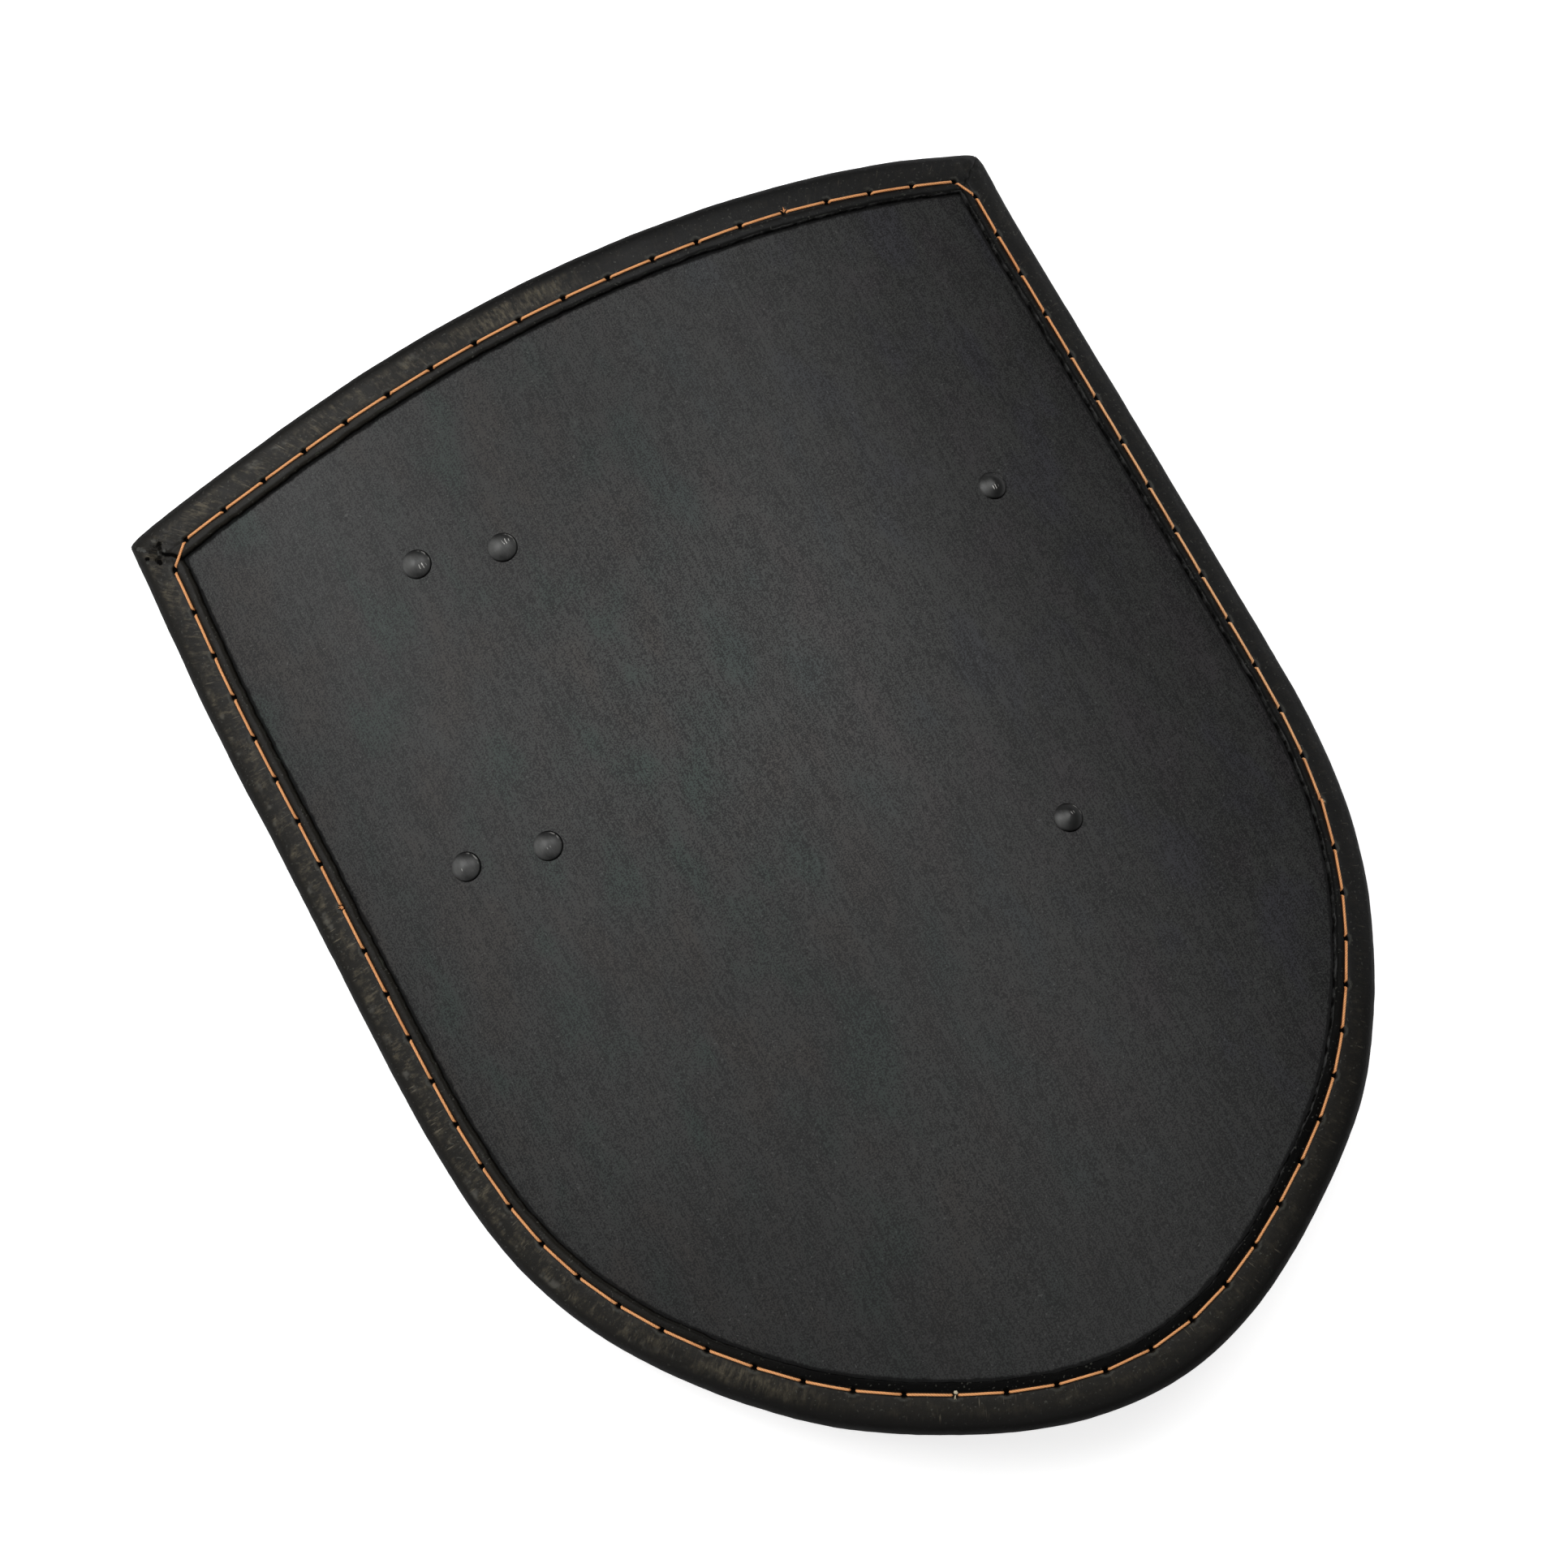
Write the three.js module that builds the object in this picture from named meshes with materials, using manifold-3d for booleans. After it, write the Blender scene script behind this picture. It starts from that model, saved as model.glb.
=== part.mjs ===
// Heater shield, lying face up: a bent board, a leather rim folded over its edge and sewn on with waxed
// thread, six dome-headed rivets and the two carrying straps that they hold behind the board.
// Millimetres. +Y points to the top edge, +X to the right of someone who faces it, +Z out of the face.
// Pattern places are given flat, as on the board before it is bent: across from the middle line, down from
// the line that joins the two top corners, and a height above the middle of the board's thickness.
import * as THREE from "three";
import { mergeVertices } from "three/addons/utils/BufferGeometryUtils.js";
import Module from "manifold-3d";

// Outline of the finished shield, over the rim
const DROP = 620; // corner line to the tip
const TOP_RISE = 22; // how far the top edge arches above the corner line
const CORNER_HALF_WIDTH = 257.5;
const BODY_HALF_WIDTH = 261.5; // at the fullest place of the sides
const STRAIGHT_DROP = 325; // corner line to where the sides turn in
const SHOULDER_POWER = 2.27; // a higher power keeps the sides out for longer
const TIP_TAPER = 0.27; // share by which the bottom is narrower at the tip than a round one
const TIP_TAPER_POWER = 3; // a higher power keeps that taper nearer to the tip
const BEND_RADIUS = 600; // of the middle of the board's thickness

// Board and rim
const BOARD_THICKNESS = 7;
const LEATHER_THICKNESS = 2.6;
const RIM_WIDTH = 25; // of leather on each face, from the outer edge inwards
const GAP = 0.3; // left between pieces that touch
const MITRE_REACH = 130; // how far from a corner the strips' cross lines lean towards the mitre

// Sewing
const SEAM_MARGIN = 6; // from the strip's inner edge to the row of holes
const CORNER_CUT = 10; // how far from the seam's corner the one short stitch across it starts
const TOP_STITCHES = 18;
const SIDE_STITCHES = 56;
const THREAD_DIAMETER = 1.7;
const THREAD_NECK = 0.55; // share of the thread's diameter that shows where it dives into a hole
const HOLE_LENGTH = 3; // bare stretch between two stitches
const STITCHES_TO_TOP_KNOT = 14; // from the left end of the top
const RIGHT_STITCHES = 14; // down the right side, corner to knot
const LOWER_STITCHES = 17; // in each of the two lower lengths

// Rivets
const HEAD_DIAMETER = 15.5;
const HEAD_HEIGHT = 4;
const SHANK_DIAMETER = 5;
const TAIL_DIAMETER = 10;
const TAIL_HEIGHT = 1.8;
const RIVET_ROWS = {
  upper: { pair_outer: [-127, 85], pair_inner: [-85, 99], single: [157.5, 180.5] },
  lower: { pair_outer: [-176.5, 233], pair_inner: [-135.5, 244.5], single: [101, 353.5] },
};

// Straps
const STRAP_WIDTH = 38;
const STRAP_THICKNESS = 3.5;
const STRAP_END = 17; // from the last rivet to the strap's end
const STRAP_LANDING = 19; // flat stretch past a rivet before the strap leaves the board
const STRAP_FLOOR_GAP = 12; // the strap bows down to this height over what the shield lies on
const STRAP_BOW_POWER = 1.5; // a higher power keeps the strap near the board for longer
const STRAP_END_ROUND = 15; // length of the rounded stretch at each end
const STRAP_END_SHARE = 0.4; // width left at the very end, as a share

// Mesh fineness
const BOARD_COLUMNS = 20;
const TOP_STEPS = 28;
const RIVET_SIDES = 14;
const DOME_STEPS = 4;
const SIDE_ROWS = 26; // from the tip to a top corner, the same for the board and the strip that folds over it
const EDGE_STEPS = 6; // round the folded edge
const THREAD_SIDES = 4;
const STRAP_STEPS = 30;
const SEAM_SAMPLES = 400;
const TANGENT_STEP = 0.002; // share of a side's length over which its direction is taken
const WELD = 0.001; // corners nearer than this are one
const BOARD_TIP_SHARE = 0.01; // the board ends in a short edge, this share of the way up its sides

const boardHalf = BOARD_THICKNESS / 2;
const rimInner = boardHalf + GAP;
const rimOuter = rimInner + LEATHER_THICKNESS;
const boardInset = LEATHER_THICKNESS + GAP;
const topRadius = (CORNER_HALF_WIDTH ** 2 + TOP_RISE ** 2) / (2 * TOP_RISE);
const restHeight = BEND_RADIUS * (1 - Math.cos((BODY_HALF_WIDTH - rimOuter) / BEND_RADIUS)) + rimOuter;
const lengthShift = (DROP - TOP_RISE) / 2;
const seamInset = RIM_WIDTH - SEAM_MARGIN;
const strapBow = restHeight - boardHalf - GAP - STRAP_THICKNESS - STRAP_FLOOR_GAP;

const boardPaint = new THREE.MeshStandardMaterial({ color: 0x3a3b3b, roughness: 0.75, metalness: 0 });
const rimLeather = new THREE.MeshStandardMaterial({ color: 0x1d1c19, roughness: 0.5, metalness: 0 });
const strapLeather = new THREE.MeshStandardMaterial({ color: 0x3b2a1e, roughness: 0.6, metalness: 0 });
const rivetPaint = new THREE.MeshStandardMaterial({ color: 0x232425, roughness: 0.4, metalness: 0.3 });
const waxedThread = new THREE.MeshStandardMaterial({ color: 0xc5763a, roughness: 0.6, metalness: 0 });

// A pattern place on the bent board. The finished shield is centred on the origin and rests at height zero.
function bend(across, down, height) {
  const angle = across / BEND_RADIUS;
  const radius = BEND_RADIUS + height;
  const x = radius * Math.sin(angle);
  const z = radius * Math.cos(angle) - BEND_RADIUS + restHeight;
  return new THREE.Vector3(x, lengthShift - down, z);
}

// Half-width of the outline at a distance down from the corner line.
function halfWidth(down) {
  if (down < STRAIGHT_DROP) {
    const up = (STRAIGHT_DROP - down) / STRAIGHT_DROP;
    return BODY_HALF_WIDTH - (BODY_HALF_WIDTH - CORNER_HALF_WIDTH) * up ** 2;
  }
  const share = Math.min((down - STRAIGHT_DROP) / (DROP - STRAIGHT_DROP), 1);
  const taper = 1 - TIP_TAPER * share ** TIP_TAPER_POWER;
  return BODY_HALF_WIDTH * Math.sqrt(1 - share ** SHOULDER_POWER) * taper;
}

// The right-hand side of the outline, from the tip at share 0 to the corner at share 1.
function sidePoint(share) {
  const down = DROP * (1 - share ** 2);
  return new THREE.Vector2(halfWidth(down), down);
}

// Unit vector from the right-hand side into the shield.
function sideInward(share) {
  if (share < TANGENT_STEP) {
    return new THREE.Vector2(0, -1);
  }
  const ahead = sidePoint(Math.min(share + TANGENT_STEP, 1));
  const behind = sidePoint(share - TANGENT_STEP);
  const along = ahead.sub(behind).normalize();
  return new THREE.Vector2(along.y, -along.x);
}

// The top edge, moved inwards by an inset.
function topDown(across, inset) {
  const radius = topRadius - inset;
  return topRadius - TOP_RISE - Math.sqrt(radius ** 2 - across ** 2);
}

// The right-hand top corner, moved inwards by an inset along the mitre.
function cornerPoint(inset) {
  const side = sideInward(1);
  const slope = Math.asin(CORNER_HALF_WIDTH / topRadius);
  const top = new THREE.Vector2(-Math.sin(slope), Math.cos(slope));
  const mitre = side.clone().add(top).multiplyScalar(1 / (1 + side.dot(top)));
  return new THREE.Vector2(CORNER_HALF_WIDTH, 0).addScaledVector(mitre, inset);
}

// A place on the top strip: share 0 to 1 from the left corner to the right one.
function topStrip(share, inset) {
  const across = (2 * share - 1) * (cornerPoint(inset).x - GAP);
  return new THREE.Vector2(across, topDown(across, inset));
}

// A place on the side strip: share 0 to 1 from the right corner round the tip to the left one.
function sideStrip(share, inset) {
  const up = Math.abs(1 - 2 * share);
  const outer = sidePoint(up);
  const place = outer.clone().addScaledVector(sideInward(up), inset);
  const lean = Math.max(0, 1 - outer.y / MITRE_REACH);
  place.y += (cornerPoint(inset).y + GAP - (place.y - outer.y)) * lean;
  if (share > 0.5) {
    place.x = -place.x;
  }
  return place;
}

// Moves every vertex of a geometry by a function of its place, and leaves one closed skin.
function shaped(geometry, move) {
  const bare = new THREE.BufferGeometry();
  const source = geometry.index ? geometry.toNonIndexed() : geometry;
  bare.setAttribute("position", source.getAttribute("position").clone());
  const position = bare.getAttribute("position");
  const place = new THREE.Vector3();
  for (let i = 0; i < position.count; i += 1) {
    place.fromBufferAttribute(position, i);
    position.setXYZ(i, ...move(place).toArray());
  }
  return closedSkin(mergeVertices(bare, WELD));
}

// Drops the triangles that have shrunk to a line, and turns a skin that a mirrored move left inside out.
function closedSkin(geometry) {
  const position = geometry.getAttribute("position");
  const index = geometry.getIndex();
  const [a, b, c] = [new THREE.Vector3(), new THREE.Vector3(), new THREE.Vector3()];
  const kept = [];
  let volume = 0;
  for (let i = 0; i < index.count; i += 3) {
    const corners = [index.getX(i), index.getX(i + 1), index.getX(i + 2)];
    if (new Set(corners).size < 3) {
      continue;
    }
    kept.push(...corners);
    a.fromBufferAttribute(position, corners[0]);
    b.fromBufferAttribute(position, corners[1]);
    c.fromBufferAttribute(position, corners[2]);
    volume += a.dot(b.cross(c));
  }
  geometry.setIndex(volume < 0 ? kept.reverse() : kept);
  return geometry;
}

function addMesh(group, name, geometry, material) {
  const mesh = new THREE.Mesh(geometry, material);
  mesh.name = name;
  mesh.geometry.computeVertexNormals();
  group.add(mesh);
  return mesh;
}

const wasm = await Module();
wasm.setup();

function toSolid(geometry) {
  const vertProperties = Float32Array.from(geometry.getAttribute("position").array);
  const triVerts = Uint32Array.from(geometry.getIndex().array);
  return new wasm.Manifold(new wasm.Mesh({ numProp: 3, vertProperties, triVerts }));
}

function toGeometry(solid) {
  const mesh = solid.getMesh();
  const geometry = new THREE.BufferGeometry();
  geometry.setAttribute("position", new THREE.BufferAttribute(Float32Array.from(mesh.vertProperties), 3));
  geometry.setIndex(new THREE.BufferAttribute(Uint32Array.from(mesh.triVerts), 1));
  return geometry;
}

// Cuts a round hole for a shank through a piece at each rivet place.
function drilled(geometry, places) {
  const radius = SHANK_DIAMETER / 2 + GAP;
  const length = 4 * (BOARD_THICKNESS + STRAP_THICKNESS);
  let solid = toSolid(geometry);
  for (const [across, down] of places) {
    const drill = new THREE.CylinderGeometry(radius, radius, length, RIVET_SIDES);
    drill.rotateX(Math.PI / 2);
    drill.rotateY(across / BEND_RADIUS);
    drill.translate(...bend(across, down, 0).toArray());
    solid = solid.subtract(toSolid(shaped(drill, (place) => place)));
  }
  return toGeometry(solid);
}

function boardGeometry() {
  const corner = cornerPoint(boardInset);
  const box = new THREE.BoxGeometry(2, 1, 2, BOARD_COLUMNS, SIDE_ROWS, 1);
  const plain = shaped(box, (place) => {
    const up = Math.max(0.5 + place.y, BOARD_TIP_SHARE);
    const outer = sidePoint(up);
    const edge = outer.clone().addScaledVector(sideInward(up), boardInset);
    const lean = Math.max(0, 1 - outer.y / MITRE_REACH);
    edge.y += (corner.y - (edge.y - outer.y)) * lean;
    const arch = topDown(place.x * corner.x, boardInset) - corner.y;
    const down = edge.y + arch * Math.max(0, 1 - edge.y / STRAIGHT_DROP);
    return bend(place.x * edge.x, down, place.z * boardHalf);
  });
  const places = Object.values(RIVET_ROWS).flatMap((row) => Object.values(row));
  return drilled(plain, places);
}

// The folded strip's section: across the strip inwards from the edge, and up through the thickness.
function rimSection() {
  const middle = (RIM_WIDTH + LEATHER_THICKNESS) / 2;
  const shape = new THREE.Shape();
  shape.moveTo(RIM_WIDTH, rimInner);
  shape.lineTo(RIM_WIDTH, rimOuter);
  shape.lineTo(rimOuter, rimOuter);
  for (let i = 1; i <= EDGE_STEPS; i += 1) {
    const angle = Math.PI / 2 + (Math.PI * i) / EDGE_STEPS;
    shape.lineTo(rimOuter + rimOuter * Math.cos(angle), rimOuter * Math.sin(angle));
  }
  shape.lineTo(RIM_WIDTH, -rimOuter);
  shape.lineTo(RIM_WIDTH, -rimInner);
  shape.lineTo(middle, -rimInner);
  shape.lineTo(LEATHER_THICKNESS, -rimInner);
  shape.lineTo(LEATHER_THICKNESS, rimInner);
  shape.lineTo(middle, rimInner);
  return shape;
}

function rimGeometry(strip, steps) {
  const extruded = new THREE.ExtrudeGeometry(rimSection(), { depth: 1, steps, bevelEnabled: false });
  return shaped(extruded, (place) => {
    const pattern = strip(place.z, place.x);
    return bend(pattern.x, pattern.y, place.y);
  });
}

// The row of holes round the sides, evenly spaced from the right corner round the tip to the left one.
class SideSeam extends THREE.Curve {
  getPoint(share, target = new THREE.Vector2()) {
    const start = Math.sqrt(1 - (cornerPoint(seamInset).y + CORNER_CUT) / DROP);
    const along = 2 * share - 1;
    const up = Math.abs(along) * start;
    const place = sidePoint(up).addScaledVector(sideInward(up), seamInset);
    return target.set(along < 0 ? place.x : -place.x, place.y);
  }
}

// Every hole of the seam, from the left end of the top, over the top and down the right side.
function seamHoles() {
  const holes = [];
  const reach = cornerPoint(seamInset).x - CORNER_CUT;
  for (let i = 0; i <= TOP_STITCHES; i += 1) {
    const across = reach * ((2 * i) / TOP_STITCHES - 1);
    holes.push(new THREE.Vector2(across, topDown(across, seamInset)));
  }
  const seam = new SideSeam();
  seam.arcLengthDivisions = SEAM_SAMPLES;
  holes.push(...seam.getSpacedPoints(SIDE_STITCHES));
  return holes;
}

// One length of thread: full between the holes, and drawn in at each hole.
function threadGeometry(holes, first, count) {
  const radius = THREAD_DIAMETER / 2;
  const height = rimOuter + GAP + radius;
  const stations = [];
  for (let i = 0; i < count; i += 1) {
    const from = holes[(first + i) % holes.length];
    const to = holes[(first + i + 1) % holes.length];
    const bare = HOLE_LENGTH / 2 / from.distanceTo(to);
    if (i > 0) {
      stations.push({ place: from, size: THREAD_NECK });
    }
    stations.push({ place: from.clone().lerp(to, bare), size: 1 });
    stations.push({ place: to.clone().lerp(from, bare), size: 1 });
  }
  const section = new THREE.Shape();
  for (let i = 0; i < THREAD_SIDES; i += 1) {
    const angle = (2 * Math.PI * i) / THREAD_SIDES;
    const corner = [radius * Math.cos(angle), radius * Math.sin(angle)];
    if (i === 0) {
      section.moveTo(...corner);
    } else {
      section.lineTo(...corner);
    }
  }
  const steps = stations.length - 1;
  const extruded = new THREE.ExtrudeGeometry(section, { depth: 1, steps, bevelEnabled: false });
  return shaped(extruded, (place) => {
    const i = Math.round(place.z * steps);
    const before = stations[Math.max(i - 1, 0)].place;
    const after = stations[Math.min(i + 1, steps)].place;
    const along = after.clone().sub(before).normalize();
    const { place: centre, size } = stations[i];
    const across = centre.x + along.y * place.x * size;
    const down = centre.y - along.x * place.x * size;
    return bend(across, down, height + place.y * size);
  });
}

// Dome, shank and clenched tail in one, with the underside of the head at height zero.
function rivetGeometry() {
  const reach = BOARD_THICKNESS + STRAP_THICKNESS + 3 * GAP;
  const headRadius = HEAD_DIAMETER / 2;
  const domeRadius = (headRadius ** 2 + HEAD_HEIGHT ** 2) / (2 * HEAD_HEIGHT);
  const domeAngle = Math.asin(headRadius / domeRadius);
  const profile = [new THREE.Vector2(0, -reach - TAIL_HEIGHT)];
  profile.push(new THREE.Vector2(TAIL_DIAMETER / 3, -reach - TAIL_HEIGHT));
  profile.push(new THREE.Vector2(TAIL_DIAMETER / 2, -reach - TAIL_HEIGHT / 3));
  profile.push(new THREE.Vector2(TAIL_DIAMETER / 2, -reach));
  profile.push(new THREE.Vector2(SHANK_DIAMETER / 2, -reach));
  profile.push(new THREE.Vector2(SHANK_DIAMETER / 2, 0));
  for (let i = DOME_STEPS; i >= 0; i -= 1) {
    const angle = (domeAngle * i) / DOME_STEPS;
    const rise = HEAD_HEIGHT - domeRadius * (1 - Math.cos(angle));
    profile.push(new THREE.Vector2(i === 0 ? 0 : domeRadius * Math.sin(angle), rise));
  }
  const lathe = new THREE.LatheGeometry(profile, RIVET_SIDES);
  lathe.rotateX(Math.PI / 2);
  return shaped(lathe, (place) => place);
}

// A flat strap that lies on the back of the board at both ends and bows away from it between them.
function strapGeometry(row) {
  const start = new THREE.Vector2(...row.pair_outer);
  const inner = new THREE.Vector2(...row.pair_inner);
  const end = new THREE.Vector2(...row.single);
  const span = start.distanceTo(end);
  const along = end.clone().sub(start).normalize();
  const side = new THREE.Vector2(-along.y, along.x);
  const leaves = inner.clone().sub(start).dot(along) + STRAP_LANDING;
  const lands = span - STRAP_LANDING;
  const length = span + 2 * STRAP_END;
  const box = new THREE.BoxGeometry(1, 2, 1, STRAP_STEPS, 1, 1);
  const plain = shaped(box, (place) => {
    const run = (place.x + 0.5) * length - STRAP_END;
    const toEnd = Math.min(run + STRAP_END, span + STRAP_END - run);
    const round = Math.max(0, 1 - toEnd / STRAP_END_ROUND);
    const width = Math.sqrt(1 - (1 - STRAP_END_SHARE ** 2) * round ** 2) * (STRAP_WIDTH / 2);
    const share = THREE.MathUtils.clamp((run - leaves) / (lands - leaves), 0, 1);
    const bow = strapBow * (4 * share * (1 - share)) ** STRAP_BOW_POWER;
    const flat = start.clone().addScaledVector(along, run).addScaledVector(side, place.y * width);
    return bend(flat.x, flat.y, -(boardHalf + GAP + bow) + (place.z - 0.5) * STRAP_THICKNESS);
  });
  return drilled(plain, Object.values(row));
}

const shield = new THREE.Group();
addMesh(shield, "board", boardGeometry(), boardPaint);
addMesh(shield, "rim_top", rimGeometry(topStrip, TOP_STEPS), rimLeather);
addMesh(shield, "rim_sides", rimGeometry(sideStrip, 2 * SIDE_ROWS), rimLeather);

const holes = seamHoles();
const cornerStitch = 1;
const rightRun = TOP_STITCHES - STITCHES_TO_TOP_KNOT + cornerStitch + RIGHT_STITCHES;
const lowerStart = STITCHES_TO_TOP_KNOT + rightRun;
const leftStart = lowerStart + 2 * LOWER_STITCHES;
const leftRun = holes.length - leftStart + STITCHES_TO_TOP_KNOT;
const lengths = {
  thread_right: [STITCHES_TO_TOP_KNOT, rightRun],
  thread_lower_right: [lowerStart, LOWER_STITCHES],
  thread_lower_left: [lowerStart + LOWER_STITCHES, LOWER_STITCHES],
  thread_top_left: [leftStart, leftRun],
};
for (const [name, [first, count]] of Object.entries(lengths)) {
  addMesh(shield, name, threadGeometry(holes, first, count), waxedThread);
}

for (const [rowName, row] of Object.entries(RIVET_ROWS)) {
  addMesh(shield, `strap_${rowName}`, strapGeometry(row), strapLeather);
  for (const [placeName, [across, down]] of Object.entries(row)) {
    const rivet = addMesh(shield, `rivet_${rowName}_${placeName}`, rivetGeometry(), rivetPaint);
    rivet.position.copy(bend(across, down, boardHalf + GAP));
    rivet.rotation.y = across / BEND_RADIUS;
  }
}

export default shield;
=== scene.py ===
# Heater shield, lying face up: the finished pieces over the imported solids.
# Metres. +Y points to the top edge, +X to the right of someone who faces it, +Z out of the face.
# Pattern places are given flat, as on the board before it is bent: across from the middle line, down from
# the line that joins the two top corners, and a height above the middle of the board's thickness.
import bisect
import math

import bmesh
import bpy
from mathutils import Euler, Matrix, Vector, noise
from mathutils.kdtree import KDTree


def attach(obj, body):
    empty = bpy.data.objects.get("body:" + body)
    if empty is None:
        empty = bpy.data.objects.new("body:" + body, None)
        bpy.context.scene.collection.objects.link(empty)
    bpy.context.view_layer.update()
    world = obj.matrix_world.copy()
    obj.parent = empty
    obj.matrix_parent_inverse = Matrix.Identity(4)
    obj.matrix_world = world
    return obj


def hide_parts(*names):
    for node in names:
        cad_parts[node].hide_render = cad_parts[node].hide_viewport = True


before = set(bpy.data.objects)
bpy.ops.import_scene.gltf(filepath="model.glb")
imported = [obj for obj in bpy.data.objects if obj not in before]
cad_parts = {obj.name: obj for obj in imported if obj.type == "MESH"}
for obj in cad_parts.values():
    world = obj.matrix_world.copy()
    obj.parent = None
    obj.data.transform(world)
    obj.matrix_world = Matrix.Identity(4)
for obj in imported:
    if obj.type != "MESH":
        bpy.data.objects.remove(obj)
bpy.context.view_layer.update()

bl_info = {
    "name": "Heater shield",
    "version": (1, 0, 0),
    "blender": (4, 5, 0),
    "location": "3D View > Sidebar > Shield",
    "description": "Makes a bent heater shield with a sewn leather rim, riveted straps and a plain studio",
    "category": "Add Mesh",
}

MM = 0.001

# Where the rivets go through the board, on the flat pattern, across and down
RIVET_ROWS = {
    "upper": {"pair_outer": (-0.127, 0.085), "pair_inner": (-0.085, 0.099), "single": (0.1575, 0.1805)},
    "lower": {"pair_outer": (-0.1765, 0.233), "pair_inner": (-0.1355, 0.2445), "single": (0.101, 0.3535)},
}

# Where the hand-made outline leaves the drawn one: a place on the pattern, its shift and how far it reaches
HAND_SHIFTS = (
    ((-0.257, 0.000), (0.0011, -0.0042), 0.055),
    ((0.166, 0.540), (0.0019, 0.0023), 0.050),
    ((-0.015, 0.610), (0.0000, -0.0013), 0.050),
    ((-0.140, 0.548), (-0.0012, 0.0015), 0.045),
    ((-0.259, 0.365), (0.0012, 0.0000), 0.040),
    ((-0.2595, 0.105), (-0.0015, 0.0000), 0.055),
    ((0.2575, 0.000), (0.0024, 0.0016), 0.036),
)

# Marks by the left corner's joint, in millimetres: how far along the joint, how far beside it and how wide,
# and
# then how deep, as a share: painted shade in the spare awl hole and the notches, and painted shadow under
# the flap's torn end; below 0 it is a pale spot of painted highlight instead
CORNER_MARKS = (
    (14.3, 4.7, 1.7, 1.0), (19.2, -3.9, 1.8, 0.95), (18.4, -2.9, 1.7, 0.75), (17.0, -2.3, 1.8, 0.55),
    (15.3, -2.3, 1.7, 0.4), (20.3, -1.8, 1.9, 0.8), (21.0, -0.4, 1.5, 0.6), (21.0, 4.5, 1.8, 0.95),
    (21.9, 5.2, 1.3, 0.9), (20.0, 3.9, 1.7, 0.85), (20.9, 2.4, 1.6, 0.65), (18.7, 3.5, 1.7, 0.45),
    (17.0, 1.5, 3.4, 0.4), (22.1, 0.0, 1.2, 0.9), (22.5, -1.5, 1.3, -0.9), (19.7, -0.2, 1.2, -0.5),
    (20.3, 1.1, 1.1, -0.4), (15.8, -5.3, 1.7, -0.45), (7.8, 0.6, 1.5, -0.6), (9.7, 0.6, 1.4, -0.55),
    (11.4, 0.7, 1.3, -0.7), (14.7, 6.1, 1.2, -0.4),
)

# Where the face's painted highlight is strongest, in the frame
FACE_HIGHLIGHT_CENTRE = (-0.022, 0.085, 0.066)

# Where the rim's dye is rubbed the most, in the frame
RUBBED_PLACES = ((-0.015, 0.300, 0.066), (-0.178, -0.236, 0.040))

# How each length of thread starts: the lap over the one before and, for each lump of knot or wax there, its
# places outward and along, its size in millimetres and how waxy it is; last the loose fibres and their wax
KNOTS = {
    "thread_right": (0.0, (), 8, 0.0),
    "thread_lower_right": (3.0, ((1.8, 0.4, 1.1, 0.3),), 2, 0.0),
    "thread_lower_left": (0.0, ((-1.3, -0.3, 1.1, 1.0),), 4, 0.9),
    "thread_top_left": (0.0, ((0.2, 0.0, 0.95, 0.0), (1.9, 0.4, 0.45, 1.0)), 2, 0.0),
}

# Where each head's paint is scratched: a place on the head, across and up, in millimetres, and how much
RIVET_RUBS = {
    "rivet_upper_pair_outer": (2.4, -2.8, 1.2),
    "rivet_upper_pair_inner": (2.4, 1.4, 1.4),
    "rivet_upper_single": (-0.8, -1.8, 1.0),
    "rivet_lower_pair_outer": (-2.0, -1.0, 0.6),
    "rivet_lower_pair_inner": (0.5, -1.5, 0.6),
    "rivet_lower_single": (1.5, 1.0, 0.7),
}

# Mesh fineness
BOARD_COLUMNS = 96
BOARD_ROWS = 150
ROUTE_SAMPLES = 3000
SEAM_ROWS = (0.45 * MM, 1.0 * MM, 1.6 * MM, 2.4 * MM, 3.6 * MM)  # each side of the row of holes
PLAIN_ROWS = 13
HOLE_STATIONS = (-2.4 * MM, -1.6 * MM, -1.0 * MM, -0.4 * MM, 0.4 * MM, 1.0 * MM, 1.6 * MM, 2.4 * MM)
BETWEEN_STATIONS = 7
END_STATION = 0.8 * MM  # spacing of the stations between the last hole and a strip's end
THREAD_SIDES = 6
DIVE = (0, 0.72, 0.86, 1.0, 1.14)  # a stitch's rings at each end, as shares of the hole's half-length
RIVET_STEPS = 40
DOME_STEPS = 10
STRAP_STEPS = 90
STRAP_ROWS = 14
FIBRE_STEPS = 5
TANGENT_STEP = 0.002  # to each side of a place, for the outline's direction there
MERGE_REACH = 0.01 * MM  # points nearer than this are one
BOARD_TIP_SHARE = 0.01  # keeps the board's last row short of the tip, where its columns would meet

# How the side sewing's lead over even spacing comes and goes, as shares of its stitches
LEAD_WON_BY = 0.27
LEAD_LOST = (0.23, 0.89)
LEAD_LOST_SHARE = 0.75

# What hand work leaves in the board and the leather
BOARD_INTO_FOLD = 1.4 * MM  # how far the board reaches past the centre of the leather's fold
BOARD_WAVE = 0.12 * MM
LEG_CROWN = 0.42 * MM  # between the fold and the seam
LIP_CROWN = 0.22 * MM  # between the seam and the strip's edge
BROAD_WAVE = 0.28 * MM
FINE_WAVE = 0.13 * MM
EDGE_WANDER = 0.85 * MM
EDGE_ROUND = 0.6 * MM
CORNER_CREASE = 0.5 * MM
CORNER_REACH_ASIDE = 16 * MM
CORNER_REACH_ALONG = 40 * MM
CORNER_ROUND = 9 * MM
RIGHT_CORNER_PULL = 1.3 * MM
LEFT_CORNER_PULL = 0.2 * MM
GROUND_GAP = 0.02 * MM

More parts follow.
